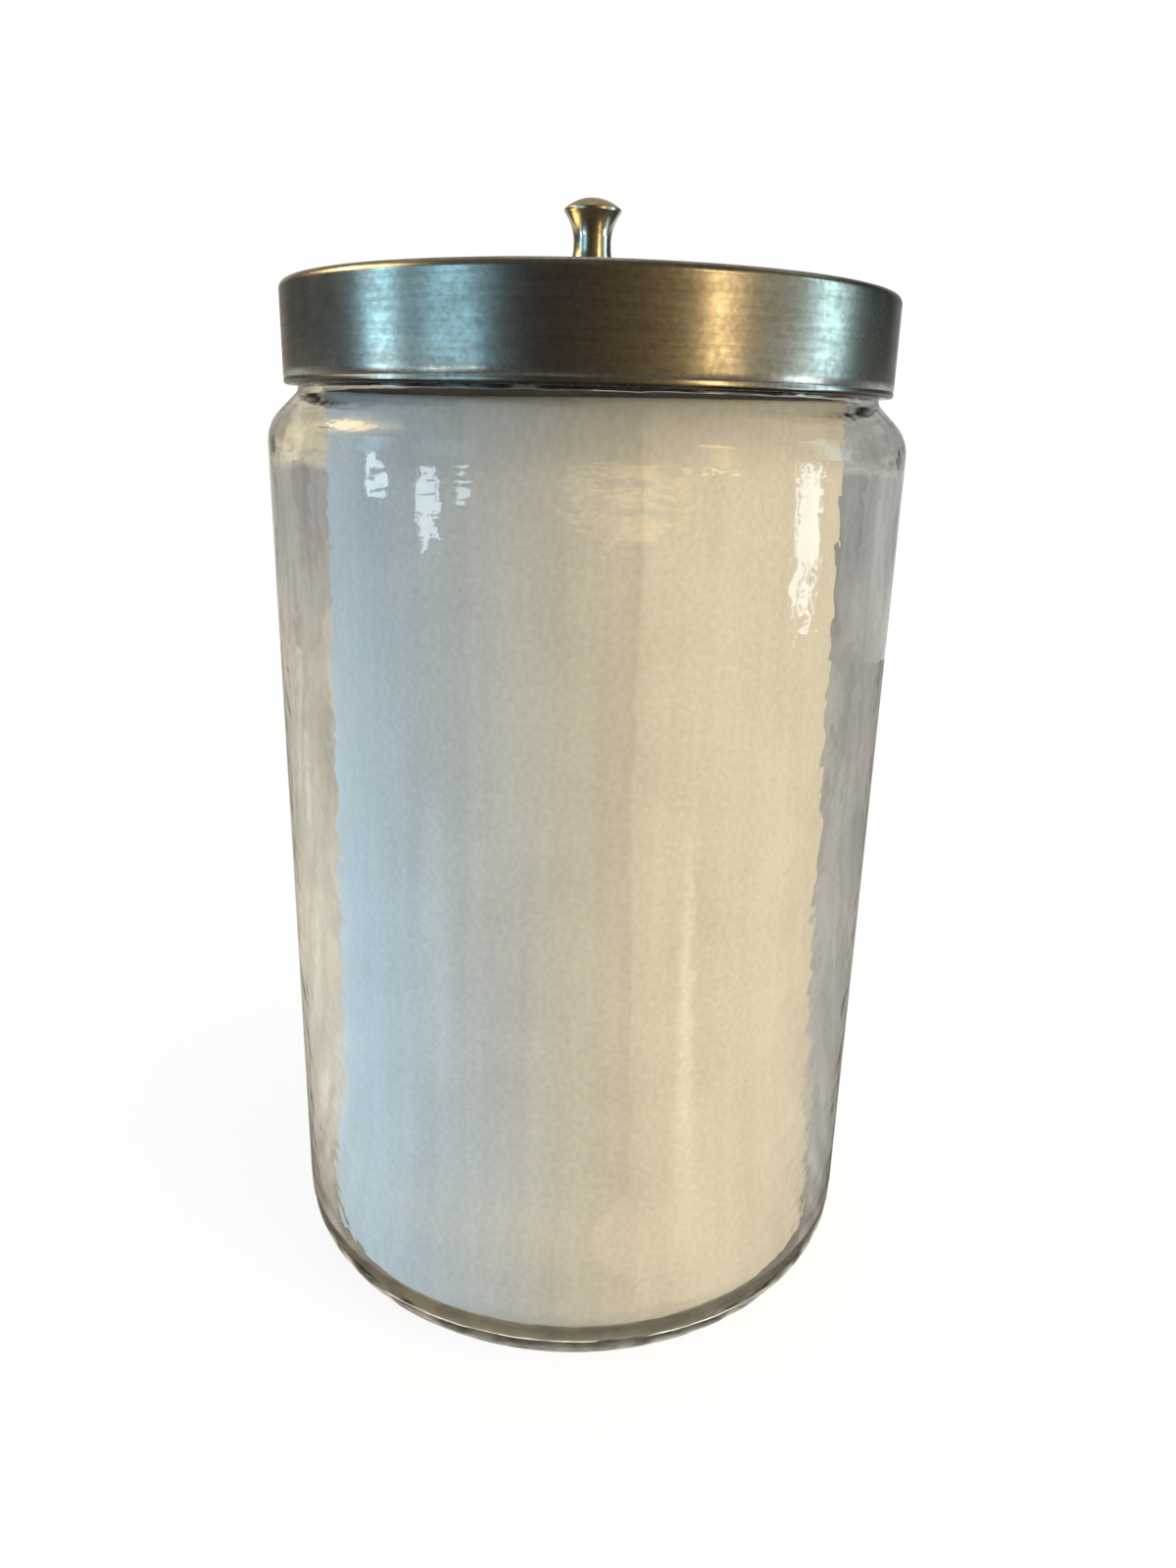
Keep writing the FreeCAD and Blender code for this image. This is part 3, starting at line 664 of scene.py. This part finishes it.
def knob_metal():
    """Polished turned metal that has gone tan on its crown, where fingers hold it."""
    bright, worn, tan = colour(0.86, 0.82, 0.70), colour(0.64, 0.58, 0.45), colour(0.62, 0.52, 0.35)
    made = brushed_metal("polished_knob_metal", bright, worn, smoothness=0.2, across=5000.0)
    material, tree, shader, place = made
    height = parts_of(tree, place.outputs["Object"])[2]
    handled = noise(tree, place.outputs["Object"], scale=420.0, detail=4.0, seed=8.0)
    crown = spread(tree, height, *CROWN_EDGE, 0.0, 1.0)
    tarnish = sums(tree, "MULTIPLY", crown, spread(tree, handled, 0.3, 0.65, 0.45, 1.0))
    metal = shader.inputs["Base Color"].links[0].from_socket
    polish = shader.inputs["Roughness"].links[0].from_socket
    brown = blend_colour(tree, tarnish, metal, tan)
    dull = sums(tree, "ADD", polish, sums(tree, "MULTIPLY", tarnish, 0.2))
    feed(tree, shader, Base_Color=brown, Roughness=dull)
    return material


def fixing_metal():
    bright, worn = colour(0.60, 0.59, 0.56), colour(0.44, 0.43, 0.40)
    return brushed_metal("zinc_fixing_metal", bright, worn, smoothness=0.34, across=7000.0)[0]


# Pieces

def make_pieces():
    turning, rolling = turning_tree(), rolling_tree()
    jar = grown("glass_jar_body", outline_mesh("jar", jar_outline(), GLASS_STEP), turning, {
        "Segments": GLASS_SEGMENTS,
        "Ripple Depth": RIPPLE_DEPTH,
        "Ripple Size": 14.0 * MM,
        "Ripple Stretch": 2.2,
        "Seed": 11.0,
        "Material": clear_glass(),
    })
    lid = grown("lid_cover", outline_mesh("lid", lid_outline(), LID_STEP), turning, {
        "Segments": LID_SEGMENTS,
        "Ripple Depth": RIPPLE_DEPTH,
        "Ripple Size": 22.0 * MM,
        "Ripple Stretch": 1.0,
        "Seed": 23.0,
        "Material": lid_metal(),
    })
    knob = grown("lid_grip", outline_mesh("knob", knob_outline(), KNOB_STEP), turning, {
        "Segments": KNOB_SEGMENTS,
        "Ripple Depth": RIPPLE_DEPTH,
        "Ripple Size": 4.0 * MM,
        "Ripple Stretch": 1.0,
        "Seed": 31.0,
        "Material": knob_metal(),
    })
    liner = grown("paper_roll", outline_mesh("liner", liner_outline(), LINER_STEP), rolling, {
        "Mean Radius": LINER_MEAN_RADIUS,
        "Layer Step": LAYER_STEP,
        "Lap": LAP,
        "Columns": LINER_COLUMNS,
        "Lean": LINER_LEAN,
        "Lean Foot": WAIST,
        "Lean Top": liner_high.z,
        "Slant": LINER_SLANT,
        "Wave Depth": LINER_WAVE,
        "Fibre Depth": LINER_FIBRE,
        "Seed": 41.0,
        "Material": white_paper(),
    }, thickness=PAPER)
    for piece, node, body, slot in (
        (jar, "glass_jar", "jar", "glass"),
        (liner, "paper_liner", "jar", "paper"),
        (lid, "lid_shell", "lid", "lid_metal"),
        (knob, "lid_knob", "lid", "knob_metal"),
    ):
        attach(piece, body)
        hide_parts(node)
    zinc = fixing_metal()
    for node in ("knob_screw", "knob_washer"):
        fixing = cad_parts[node]
        fixing.data.materials.clear()
        fixing.data.materials.append(zinc)


# Stage

UPWARDS = Vector((0.0, 0.0, 1.0))
FLOOR_REACH = 6.0
SURROUND_RADIUS = 0.62
WALL_TOP = 0.75
CEILING = 1.4
SURROUND_SEGMENTS = 96
LAMP_DISTANCE = 0.55
CARD_HEIGHT = 3.0 * MM
# Ragged lamps: size of a patch, the range over which its edge fades, its roughness and its peak
WINDOW_PATCH, RIPPLE_PATCH = (0.015, 0.015), (0.10, 0.008)
WINDOW_EDGE, RIPPLE_EDGE = (0.4, 0.65), (0.45, 1.05)
RAGGEDNESS, PATCH_PEAK = 3.0, 1.3
COOL, PALE, WARM = (0.37, 0.77, 1.0), (0.57, 0.91, 1.0), (1.0, 0.69, 0.32)
DAYLIGHT, GOLDEN = (0.75, 0.91, 1.0), (1.0, 0.67, 0.27)

# Upright lamps: name, azimuth from the front towards +X, foot, head, width, colour, brightness
BAND_LAMPS = [
    ("left_band", -74.0, 0.165, 0.38, 0.170, COOL, 3.1),
    ("left_broad_band", -46.0, 0.165, 0.38, 0.330, COOL, 1.4),
    ("warm_band", 43.5, 0.165, 0.46, 0.150, WARM, 3.0),
    ("right_band", 88.0, 0.165, 0.46, 0.240, PALE, 2.75),
]
WINDOW_LAMPS = [
    ("left_pane", -72.0, 0.100, 0.172, 0.110, DAYLIGHT, 7.5),
    ("middle_pane", -52.0, 0.072, 0.140, 0.095, DAYLIGHT, 7.5),
    ("small_pane", -39.5, 0.100, 0.140, 0.075, DAYLIGHT, 6.0),
    ("shoulder_pane", -97.0, 0.36, 0.62, 0.360, GOLDEN, 6.0),
    ("warm_pane", 42.0, 0.128, 0.150, 0.190, WARM, 6.0),
    ("high_warm_pane", 43.0, 0.355, 0.415, 0.190, WARM, 6.0),
    ("right_pane", 78.0, 0.020, 0.175, 0.160, DAYLIGHT, 6.0),
]
GLOW_LAMPS = [
    ("shoulder_glow", -94.0, 0.30, 0.74, 0.640, GOLDEN, 3.6),
]
RIPPLE_LAMPS = [
    ("ripple_pane", 15.0, 0.070, 0.155, 0.680, GOLDEN, 2.6),
]

# Cards that lie on the floor: name, near and far end on the floor, width, colour, brightness
FLOOR_CARDS = [
    ("warm_card", (0.030, -0.055), (0.200, -0.260), 0.024, (1.0, 0.84, 0.62), 3.2),
    ("cool_card", (-0.066, -0.074), (-0.294, -0.230), 0.070, (0.62, 0.85, 1.0), 1.5),
]

# Soft lamps that only light the object: name, place, width, height, colour, brightness
SOFT_LAMPS = [
    ("right_fill", Vector((0.50, -0.27, 0.44)), 0.45, 0.55, (1.0, 0.85, 0.56), 11.0),
    ("left_fill", Vector((-0.24, -0.07, 0.02)), 0.10, 0.05, (0.35, 0.68, 1.0), 29.0),
]

OVERHEAD_PLACE = Vector((-0.3, 0.62, 1.1))
OVERHEAD_SIZE = 0.8
OVERHEAD_TINT = (1.0, 0.96, 0.90)
OVERHEAD_BRIGHTNESS = 1.8
WORLD_TINT = (0.98, 0.98, 1.0)
WORLD_FILL = 0.32

# Surround as metal and glass see it: azimuth from the front towards +X, colour
MIDDLE_TONES = [
    (-180.0, (0.40, 0.37, 0.34)),
    (-148.0, (0.40, 0.37, 0.34)),
    (-132.0, (0.06, 0.06, 0.056)),
    (-95.0, (0.07, 0.09, 0.10)),
    (-45.0, (0.06, 0.085, 0.10)),
    (-22.0, (0.05, 0.042, 0.033)),
    (-5.0, (0.045, 0.034, 0.023)),
    (12.0, (0.13, 0.095, 0.05)),
    (30.0, (0.20, 0.14, 0.068)),
    (64.0, (0.34, 0.31, 0.23)),
    (100.0, (0.09, 0.105, 0.10)),
    (118.0, (0.035, 0.042, 0.037)),
    (134.0, (0.04, 0.045, 0.04)),
    (150.0, (0.33, 0.31, 0.31)),
    (180.0, (0.40, 0.37, 0.34)),
]
# Straight behind the jar it is dark, from and to these turns, and low down the sides are pale
BACK_TONE = (0.06, 0.055, 0.05)
BACK_START, BACK_FULL = 164.0, 168.0
LEFT_SIDE_TONE, RIGHT_SIDE_TONE = (0.58, 0.55, 0.47), (0.45, 0.44, 0.41)
LOW_TONES = [
    (-180.0, LEFT_SIDE_TONE),
    (-120.0, LEFT_SIDE_TONE),
    *(stop for stop in MIDDLE_TONES if abs(stop[0]) < 110.0),
    (120.0, RIGHT_SIDE_TONE),
    (180.0, RIGHT_SIDE_TONE),
]
HIGH_TONES = [
    (-180.0, BACK_TONE),
    (-BACK_FULL, BACK_TONE),
    (-BACK_START, (0.50, 0.46, 0.37)),
    (-147.0, (0.64, 0.58, 0.43)),
    (-140.0, (0.77, 0.69, 0.50)),
    (-116.0, (0.77, 0.67, 0.45)),
    (-98.0, (0.45, 0.42, 0.34)),
    (-60.0, (0.10, 0.095, 0.085)),
    (20.0, (0.06, 0.050, 0.036)),
    (80.0, (0.14, 0.125, 0.10)),
    (112.0, (0.38, 0.39, 0.35)),
    (147.0, (0.48, 0.49, 0.45)),
    (BACK_START, (0.44, 0.44, 0.40)),
    (BACK_FULL, BACK_TONE),
    (180.0, BACK_TONE),
]
FOOT_TONES = [
    (-180.0, BACK_TONE),
    (-BACK_FULL, BACK_TONE),
    (-BACK_START, (0.35, 0.34, 0.315)),
    (-20.0, (0.35, 0.34, 0.315)),
    (20.0, (0.41, 0.41, 0.39)),
    (BACK_START, (0.41, 0.41, 0.39)),
    (BACK_FULL, BACK_TONE),
    (180.0, BACK_TONE),
]
FRONT_CEILING_TONE = colour(0.09, 0.08, 0.06)
BACK_CEILING_TONE = colour(0.36, 0.32, 0.25)
FLOOR_TONE = colour(0.86, 0.86, 0.85)
LEFT_FLOOR_TONE = colour(0.77, 0.725, 0.60)
RIGHT_FLOOR_TONE = colour(0.52, 0.495, 0.44)
# Painted shadow on the floor under and round the jar's foot, which only metal and glass see
CONTACT_SHADOW_TONE = colour(0.16, 0.135, 0.092)
UNDER_SHADOW_TONE = colour(0.25, 0.225, 0.155)
GLINT_TONE = colour(1.0, 0.93, 0.76)
FAR_FLOOR_SHARE = 0.78
MIRRORED_FRONT_SHARE, MIRRORED_BACK_SHARE = 0.3, 0.8
# Rings on the floor, by distance from the axis, from and to
SHADOW_RING = (0.05, 0.15)
UNDER_SHADOW_RING = (0.045, 0.052)
CONTACT_SHADOW_RING = (0.057, 0.064)
GLINT_RING = (0.056, 0.060)
BACK_RING = (0.2, 0.35)
FAR_RING = (0.08, 0.4)
# Places across, along and up the room over which one tone gives way to the next, from and to
LEFT_TO_RIGHT = (-0.12, 0.12)
JAR_TO_BACK = (0.0, 0.1)
CEILING_TO_BACK = (0.0, 0.2)
FOOT_HEIGHTS = (0.0, 0.08)
HIGH_HEIGHTS = (0.12, 0.18)
LOW_HEIGHTS = (0.14, 0.18)
CEILING_HEIGHTS = (0.60, WALL_TOP)
NO_LIGHT = colour(0.0, 0.0, 0.0)


def seen_directly(tree):
    """1 for rays from the camera and for those that metal or glass sends on."""
    path = tree.nodes.new("ShaderNodeLightPath").outputs
    shiny = sums(tree, "MAXIMUM", path["Is Glossy Ray"], path["Is Transmission Ray"])
    return sums(tree, "MAXIMUM", path["Is Camera Ray"], shiny)


def make_world():
    """White to the eye, and an even fill on the object."""
    world = bpy.data.worlds.new("white_room")
    bpy.context.scene.world = world
    world.use_nodes = True
    tree = world.node_tree
    fill = tree.nodes["Background"]
    fill.inputs["Color"].default_value = colour(*WORLD_TINT)
    fill.inputs["Strength"].default_value = WORLD_FILL
    white = add(tree, "ShaderNodeBackground", {"Color": colour(1.0, 1.0, 1.0), "Strength": 1.0})
    mixed = add(tree, "ShaderNodeMixShader", {0: seen_directly(tree), 1: fill.outputs[0], 2: white})
    tree.links.new(mixed, tree.nodes["World Output"].inputs["Surface"])


def side_tone(tree, x, left, right):
    """Tone that changes from the left of the jar to its right."""
    return blend_colour(tree, spread(tree, x, *LEFT_TO_RIGHT, 0.0, 1.0), left, right)


def make_floor():
    """Pale floor that fades to white away from the jar and keeps its shadow near it."""
    mesh = bpy.data.meshes.new("floor")
    reach = FLOOR_REACH
    corners = [(-reach, -reach, 0), (reach, -reach, 0), (reach, reach, 0), (-reach, reach, 0)]
    mesh.from_pydata(corners, [], [(0, 1, 2, 3)])
    floor = bpy.data.objects.new("floor", mesh)
    bpy.context.scene.collection.objects.link(floor)
    material, tree, shader, place = new_material("pale_floor")
    feed(tree, shader, Base_Color=FLOOR_TONE, Roughness=0.9, Specular_IOR_Level=0.1)
    flat = place.outputs["Object"]
    x, y, _ = parts_of(tree, flat)
    away = add(tree, "ShaderNodeVectorMath", {0: flat}, output="Value", operation="LENGTH")
    path = tree.nodes.new("ShaderNodeLightPath").outputs
    plain_view = sums(tree, "MULTIPLY", spread(tree, away, *SHADOW_RING, 0.9, 1.0), path["Is Camera Ray"])
    white = add(tree, "ShaderNodeEmission", {"Color": colour(1.0, 1.0, 1.0), "Strength": 1.0})
    seen = add(tree, "ShaderNodeMixShader", {0: plain_view, 1: shader.outputs[0], 2: white})
    # Metal and glass see it warm on the left, grey on the right, and with a painted dark olive shadow
    # under the jar's edge
    # Painted shadow: dark olive under the jar and round its edge
    under = blend_colour(tree, spread(tree, away, *UNDER_SHADOW_RING, 0.0, 1.0), UNDER_SHADOW_TONE, CONTACT_SHADOW_TONE)
    tone = side_tone(tree, x, LEFT_FLOOR_TONE, RIGHT_FLOOR_TONE)
    # Rays that the paper sends on don't see the painted shadow ring, so the paper's foot stays pale
    from_elsewhere = spread(tree, path["Diffuse Depth"], 0.0, 1.0, 1.0, 0.0)
    near = sums(tree, "MULTIPLY", spread(tree, away, *CONTACT_SHADOW_RING, 1.0, 0.0), from_elsewhere)
    tone = blend_colour(tree, near, tone, under)
    turn = sums(tree, "ABSOLUTE", sums(tree, "ARCTAN2", x, sums(tree, "MULTIPLY", y, -1.0)))
    behind = spread(tree, turn, math.radians(BACK_START), math.radians(BACK_FULL), 0.0, 1.0)
    behind = sums(tree, "MULTIPLY", behind, spread(tree, away, *BACK_RING, 0.0, 1.0))
    tone = blend_colour(tree, behind, tone, colour(*BACK_TONE))
    outwards = vector(
        tree,
        sums(tree, "DIVIDE", x, away),
        sums(tree, "DIVIDE", y, away),
        sums(tree, "MULTIPLY", sums(tree, "LOGARITHM", away, 10.0), 0.5),
    )
    streak = spread(tree, noise(tree, outwards, scale=9.0, detail=3.0, seed=4.0), 0.3, 0.7, 0.7, 1.3)
    level = sums(tree, "MULTIPLY", streak, spread(tree, away, *FAR_RING, 1.0, FAR_FLOOR_SHARE))
    # Mirrored rays see it darker before the jar than behind it, and glints along the jar's edge
    glass = path["Is Transmission Ray"]
    mirrored = spread(tree, y, *JAR_TO_BACK, MIRRORED_FRONT_SHARE, MIRRORED_BACK_SHARE)
    level = sums(tree, "MULTIPLY", level, sums(tree, "MAXIMUM", glass, mirrored))
    edge = spread(tree, away, *GLINT_RING, 1.0, 0.0)
    edge = sums(tree, "MULTIPLY", edge, sums(tree, "SUBTRACT", 1.0, glass))
    patches = noise(tree, flat, scale=160.0, detail=2.0, seed=3.0)
    glint = spread(tree, patches, 0.4, 0.65, 0.4, 1.6)
    level = sums(tree, "MAXIMUM", level, sums(tree, "MULTIPLY", edge, glint))
    tone = blend_colour(tree, edge, tone, GLINT_TONE)
    toned = add(tree, "ShaderNodeEmission", {"Color": tone, "Strength": level})
    shiny = sums(tree, "MAXIMUM", path["Is Glossy Ray"], glass)
    mixed = add(tree, "ShaderNodeMixShader", {0: shiny, 1: seen, 2: toned})
    tree.links.new(mixed, tree.nodes["Material Output"].inputs["Surface"])
    mesh.materials.append(material)


def azimuth_tones(tree, turn, tones):
    """Colour that changes round the axis, through the given tones."""
    ramp = tree.nodes.new("ShaderNodeValToRGB")
    tree.links.new(spread(tree, turn, -math.pi, math.pi, 0.0, 1.0), ramp.inputs[0])
    stops = ramp.color_ramp.elements
    for number, (azimuth, tone) in enumerate(tones):
        position = azimuth / 360 + 0.5
        stop = stops[number] if number < 1 else stops.new(position)
        stop.position = position
        stop.color = colour(*tone)
    return ramp.outputs[0]


def make_surround():
    """Toned wall and ceiling that only metal and glass see, so that they keep dark and pale bands."""
    mesh = bpy.data.meshes.new("surround")
    count = SURROUND_SEGMENTS
    turns = [math.tau * step / count for step in range(count)]
    ring = [(SURROUND_RADIUS * math.cos(a), SURROUND_RADIUS * math.sin(a)) for a in turns]
    points = [(x, y, z) for z in (0.0, WALL_TOP) for x, y in ring] + [(0.0, 0.0, CEILING)]
    faces = [(i, (i + 1) % count, count + (i + 1) % count, count + i) for i in range(count)]
    faces += [(count + i, count + (i + 1) % count, 2 * count) for i in range(count)]
    mesh.from_pydata(points, [], faces)
    wall = bpy.data.objects.new("surround", mesh)
    bpy.context.scene.collection.objects.link(wall)
    material, tree, _, place = new_material("surround_tones")
    x, y, z = parts_of(tree, place.outputs["Object"])
    turn = sums(tree, "ARCTAN2", x, sums(tree, "MULTIPLY", y, -1.0))
    kinds = (LOW_TONES, MIDDLE_TONES, HIGH_TONES, FOOT_TONES)
    low, middle, high, foot = (azimuth_tones(tree, turn, tones) for tones in kinds)
    # Rays through glass see the floor's tone rise into the foot of the wall, and pale tones above it
    edge = side_tone(tree, x, LEFT_FLOOR_TONE, RIGHT_FLOOR_TONE)
    edge = blend_colour(tree, FAR_FLOOR_SHARE, NO_LIGHT, edge)
    through = blend_colour(tree, spread(tree, z, *FOOT_HEIGHTS, 0.0, 1.0), edge, foot)
    through = blend_colour(tree, spread(tree, z, *HIGH_HEIGHTS, 0.0, 1.0), through, high)
    # Mirrored rays see dark and pale bands
    mirrored = blend_colour(tree, spread(tree, z, *LOW_HEIGHTS, 0.0, 1.0), low, middle)
    glass = add(tree, "ShaderNodeLightPath", output="Is Transmission Ray")
    tone = blend_colour(tree, glass, mirrored, through)
    backwards = spread(tree, y, *CEILING_TO_BACK, 0.0, 1.0)
    ceiling = blend_colour(tree, backwards, FRONT_CEILING_TONE, BACK_CEILING_TONE)
    tone = blend_colour(tree, spread(tree, z, *CEILING_HEIGHTS, 0.0, 1.0), tone, ceiling)
    clouds = noise(tree, place.outputs["Object"], scale=9.0, detail=3.0, seed=2.0)
    level = spread(tree, clouds, 0.35, 0.65, 0.7, 1.25)
    light = add(tree, "ShaderNodeEmission", {"Color": tone, "Strength": level})
    tree.links.new(light, tree.nodes["Material Output"].inputs["Surface"])
    mesh.materials.append(material)
    wall.visible_camera = False
    wall.visible_diffuse = False
    wall.visible_shadow = False


def make_lamp(name, place, facing, upwards, size, tint, brightness):
    """Flat lamp that metal and glass mirror but the camera does not see."""
    light = bpy.data.lights.new(name, "AREA")
    light.shape = "RECTANGLE"
    light.size, light.size_y = size
    light.color = tint
    light.energy = brightness * math.pi * size[0] * size[1]
    lamp = bpy.data.objects.new(name, light)
    bpy.context.scene.collection.objects.link(lamp)
    side = upwards.cross(-facing)
    turn = Matrix((side, upwards, -facing)).transposed().to_4x4()
    lamp.matrix_world = Matrix.Translation(place) @ turn
    lamp.visible_camera = False
    lamp.visible_transmission = False
    return lamp


def lamp_pattern(lamp):
    """Tree of a lamp's light, with the place on the lamp from 0 to 1 both ways."""
    lamp.data.use_nodes = True
    tree = lamp.data.node_tree
    u, v, _ = parts_of(tree, add(tree, "ShaderNodeNewGeometry", output="Parametric"))
    return tree, tree.nodes["Emission"].inputs["Strength"], u, v


def break_up(lamp, patch, edge):
    """Patch of light with ragged edges, as through a window with leaves before it."""
    tree, strength, u, v = lamp_pattern(lamp)
    across, along = (sums(tree, "SINE", sums(tree, "MULTIPLY", part, math.pi)) for part in (u, v))
    hill = sums(tree, "MULTIPLY", across, along)
    where = vector(
        tree,
        sums(tree, "MULTIPLY", u, lamp.data.size / patch[0]),
        sums(tree, "MULTIPLY", v, lamp.data.size_y / patch[1]),
        lamp.location.x,
    )
    leaves = noise(tree, where, scale=1.0, detail=5.0, seed=7.0)
    rough = sums(tree, "MULTIPLY", sums(tree, "SUBTRACT", leaves, 0.5), RAGGEDNESS)
    ragged = spread(tree, sums(tree, "ADD", hill, rough), *edge, 0.0, PATCH_PEAK)
    tree.links.new(ragged, strength)


def soften(lamp, ends=True):
    """Light that fades out towards the sides, and towards the ends as well if asked."""
    tree, strength, u, v = lamp_pattern(lamp)
    wave = sums(tree, "SINE", sums(tree, "MULTIPLY", u, math.pi))
    hill = sums(tree, "MULTIPLY", wave, wave)
    if ends:
        hill = sums(tree, "MULTIPLY", hill, sums(tree, "SINE", sums(tree, "MULTIPLY", v, math.pi)))
    tree.links.new(hill, strength)


def upright_lamp(name, azimuth, foot, head, width, tint, brightness):
    """Lamp that stands round the jar and faces its axis."""
    turn = math.radians(azimuth)
    outwards = Vector((math.sin(turn), -math.cos(turn), 0.0))
    place = outwards * LAMP_DISTANCE + UPWARDS * (foot + head) / 2
    return make_lamp(name, place, -outwards, UPWARDS, (width, head - foot), tint, brightness)


def make_lamps():
    for lamp in BAND_LAMPS:
        soften(upright_lamp(*lamp), ends=False)
    for lamps, patch, edge in (
        (WINDOW_LAMPS, WINDOW_PATCH, WINDOW_EDGE),
        (RIPPLE_LAMPS, RIPPLE_PATCH, RIPPLE_EDGE),
    ):
        for lamp in lamps:
            pane = upright_lamp(*lamp)
            pane.visible_diffuse = False
            break_up(pane, patch, edge)
    # The ripples show in the glass and not in the metal
    glass_only = bpy.data.collections.new("glass_only")
    glass_only.objects.link(bpy.data.objects["glass_jar_body"])
    for name, *_ in RIPPLE_LAMPS:
        bpy.data.objects[name].light_linking.receiver_collection = glass_only
    for lamp in GLOW_LAMPS:
        glow = upright_lamp(*lamp)
        glow.visible_diffuse = False
        soften(glow)
    for name, near, far, width, tint, brightness in FLOOR_CARDS:
        near, far = Vector((*near, CARD_HEIGHT)), Vector((*far, CARD_HEIGHT))
        size = (width, (far - near).length)
        along = (far - near).normalized()
        soften(make_lamp(name, (near + far) / 2, UPWARDS, along, size, tint, brightness))
    for name, place, width, height, tint, brightness in SOFT_LAMPS:
        inwards = (UPWARDS * SHOULDER / 2 - place).normalized()
        upright = (UPWARDS - inwards * inwards.z).normalized()
        lamp = make_lamp(name, place, inwards, upright, (width, height), tint, brightness)
        lamp.visible_glossy = False
    size = (OVERHEAD_SIZE, OVERHEAD_SIZE)
    backwards = Vector((0.0, 1.0, 0.0))
    overhead = (-UPWARDS, backwards, size, OVERHEAD_TINT, OVERHEAD_BRIGHTNESS)
    make_lamp("overhead", OVERHEAD_PLACE, *overhead)


def make_camera():
    """Camera at the photograph's viewing angle."""
    flat = math.cos(CAMERA_PITCH)
    ahead = Vector((math.sin(CAMERA_YAW) * flat, math.cos(CAMERA_YAW) * flat, -math.sin(CAMERA_PITCH)))
    level = Vector((math.cos(CAMERA_YAW), -math.sin(CAMERA_YAW), 0.0))
    upright = level.cross(ahead)
    right = level * math.cos(CAMERA_ROLL) + upright * math.sin(CAMERA_ROLL)
    above = upright * math.cos(CAMERA_ROLL) - level * math.sin(CAMERA_ROLL)
    lens = bpy.data.cameras.new("camera")
    lens.lens = CAMERA_LENS
    lens.clip_start = CAMERA_NEAR
    camera = bpy.data.objects.new("camera", lens)
    bpy.context.scene.collection.objects.link(camera)
    turn = Matrix((right, above, -ahead)).transposed().to_4x4()
    camera.matrix_world = Matrix.Translation(CAMERA_PLACE) @ turn
    bpy.context.scene.camera = camera


make_pieces()
make_world()
make_floor()
make_surround()
make_lamps()
make_camera()
bpy.context.scene.view_settings.view_transform = "Standard"
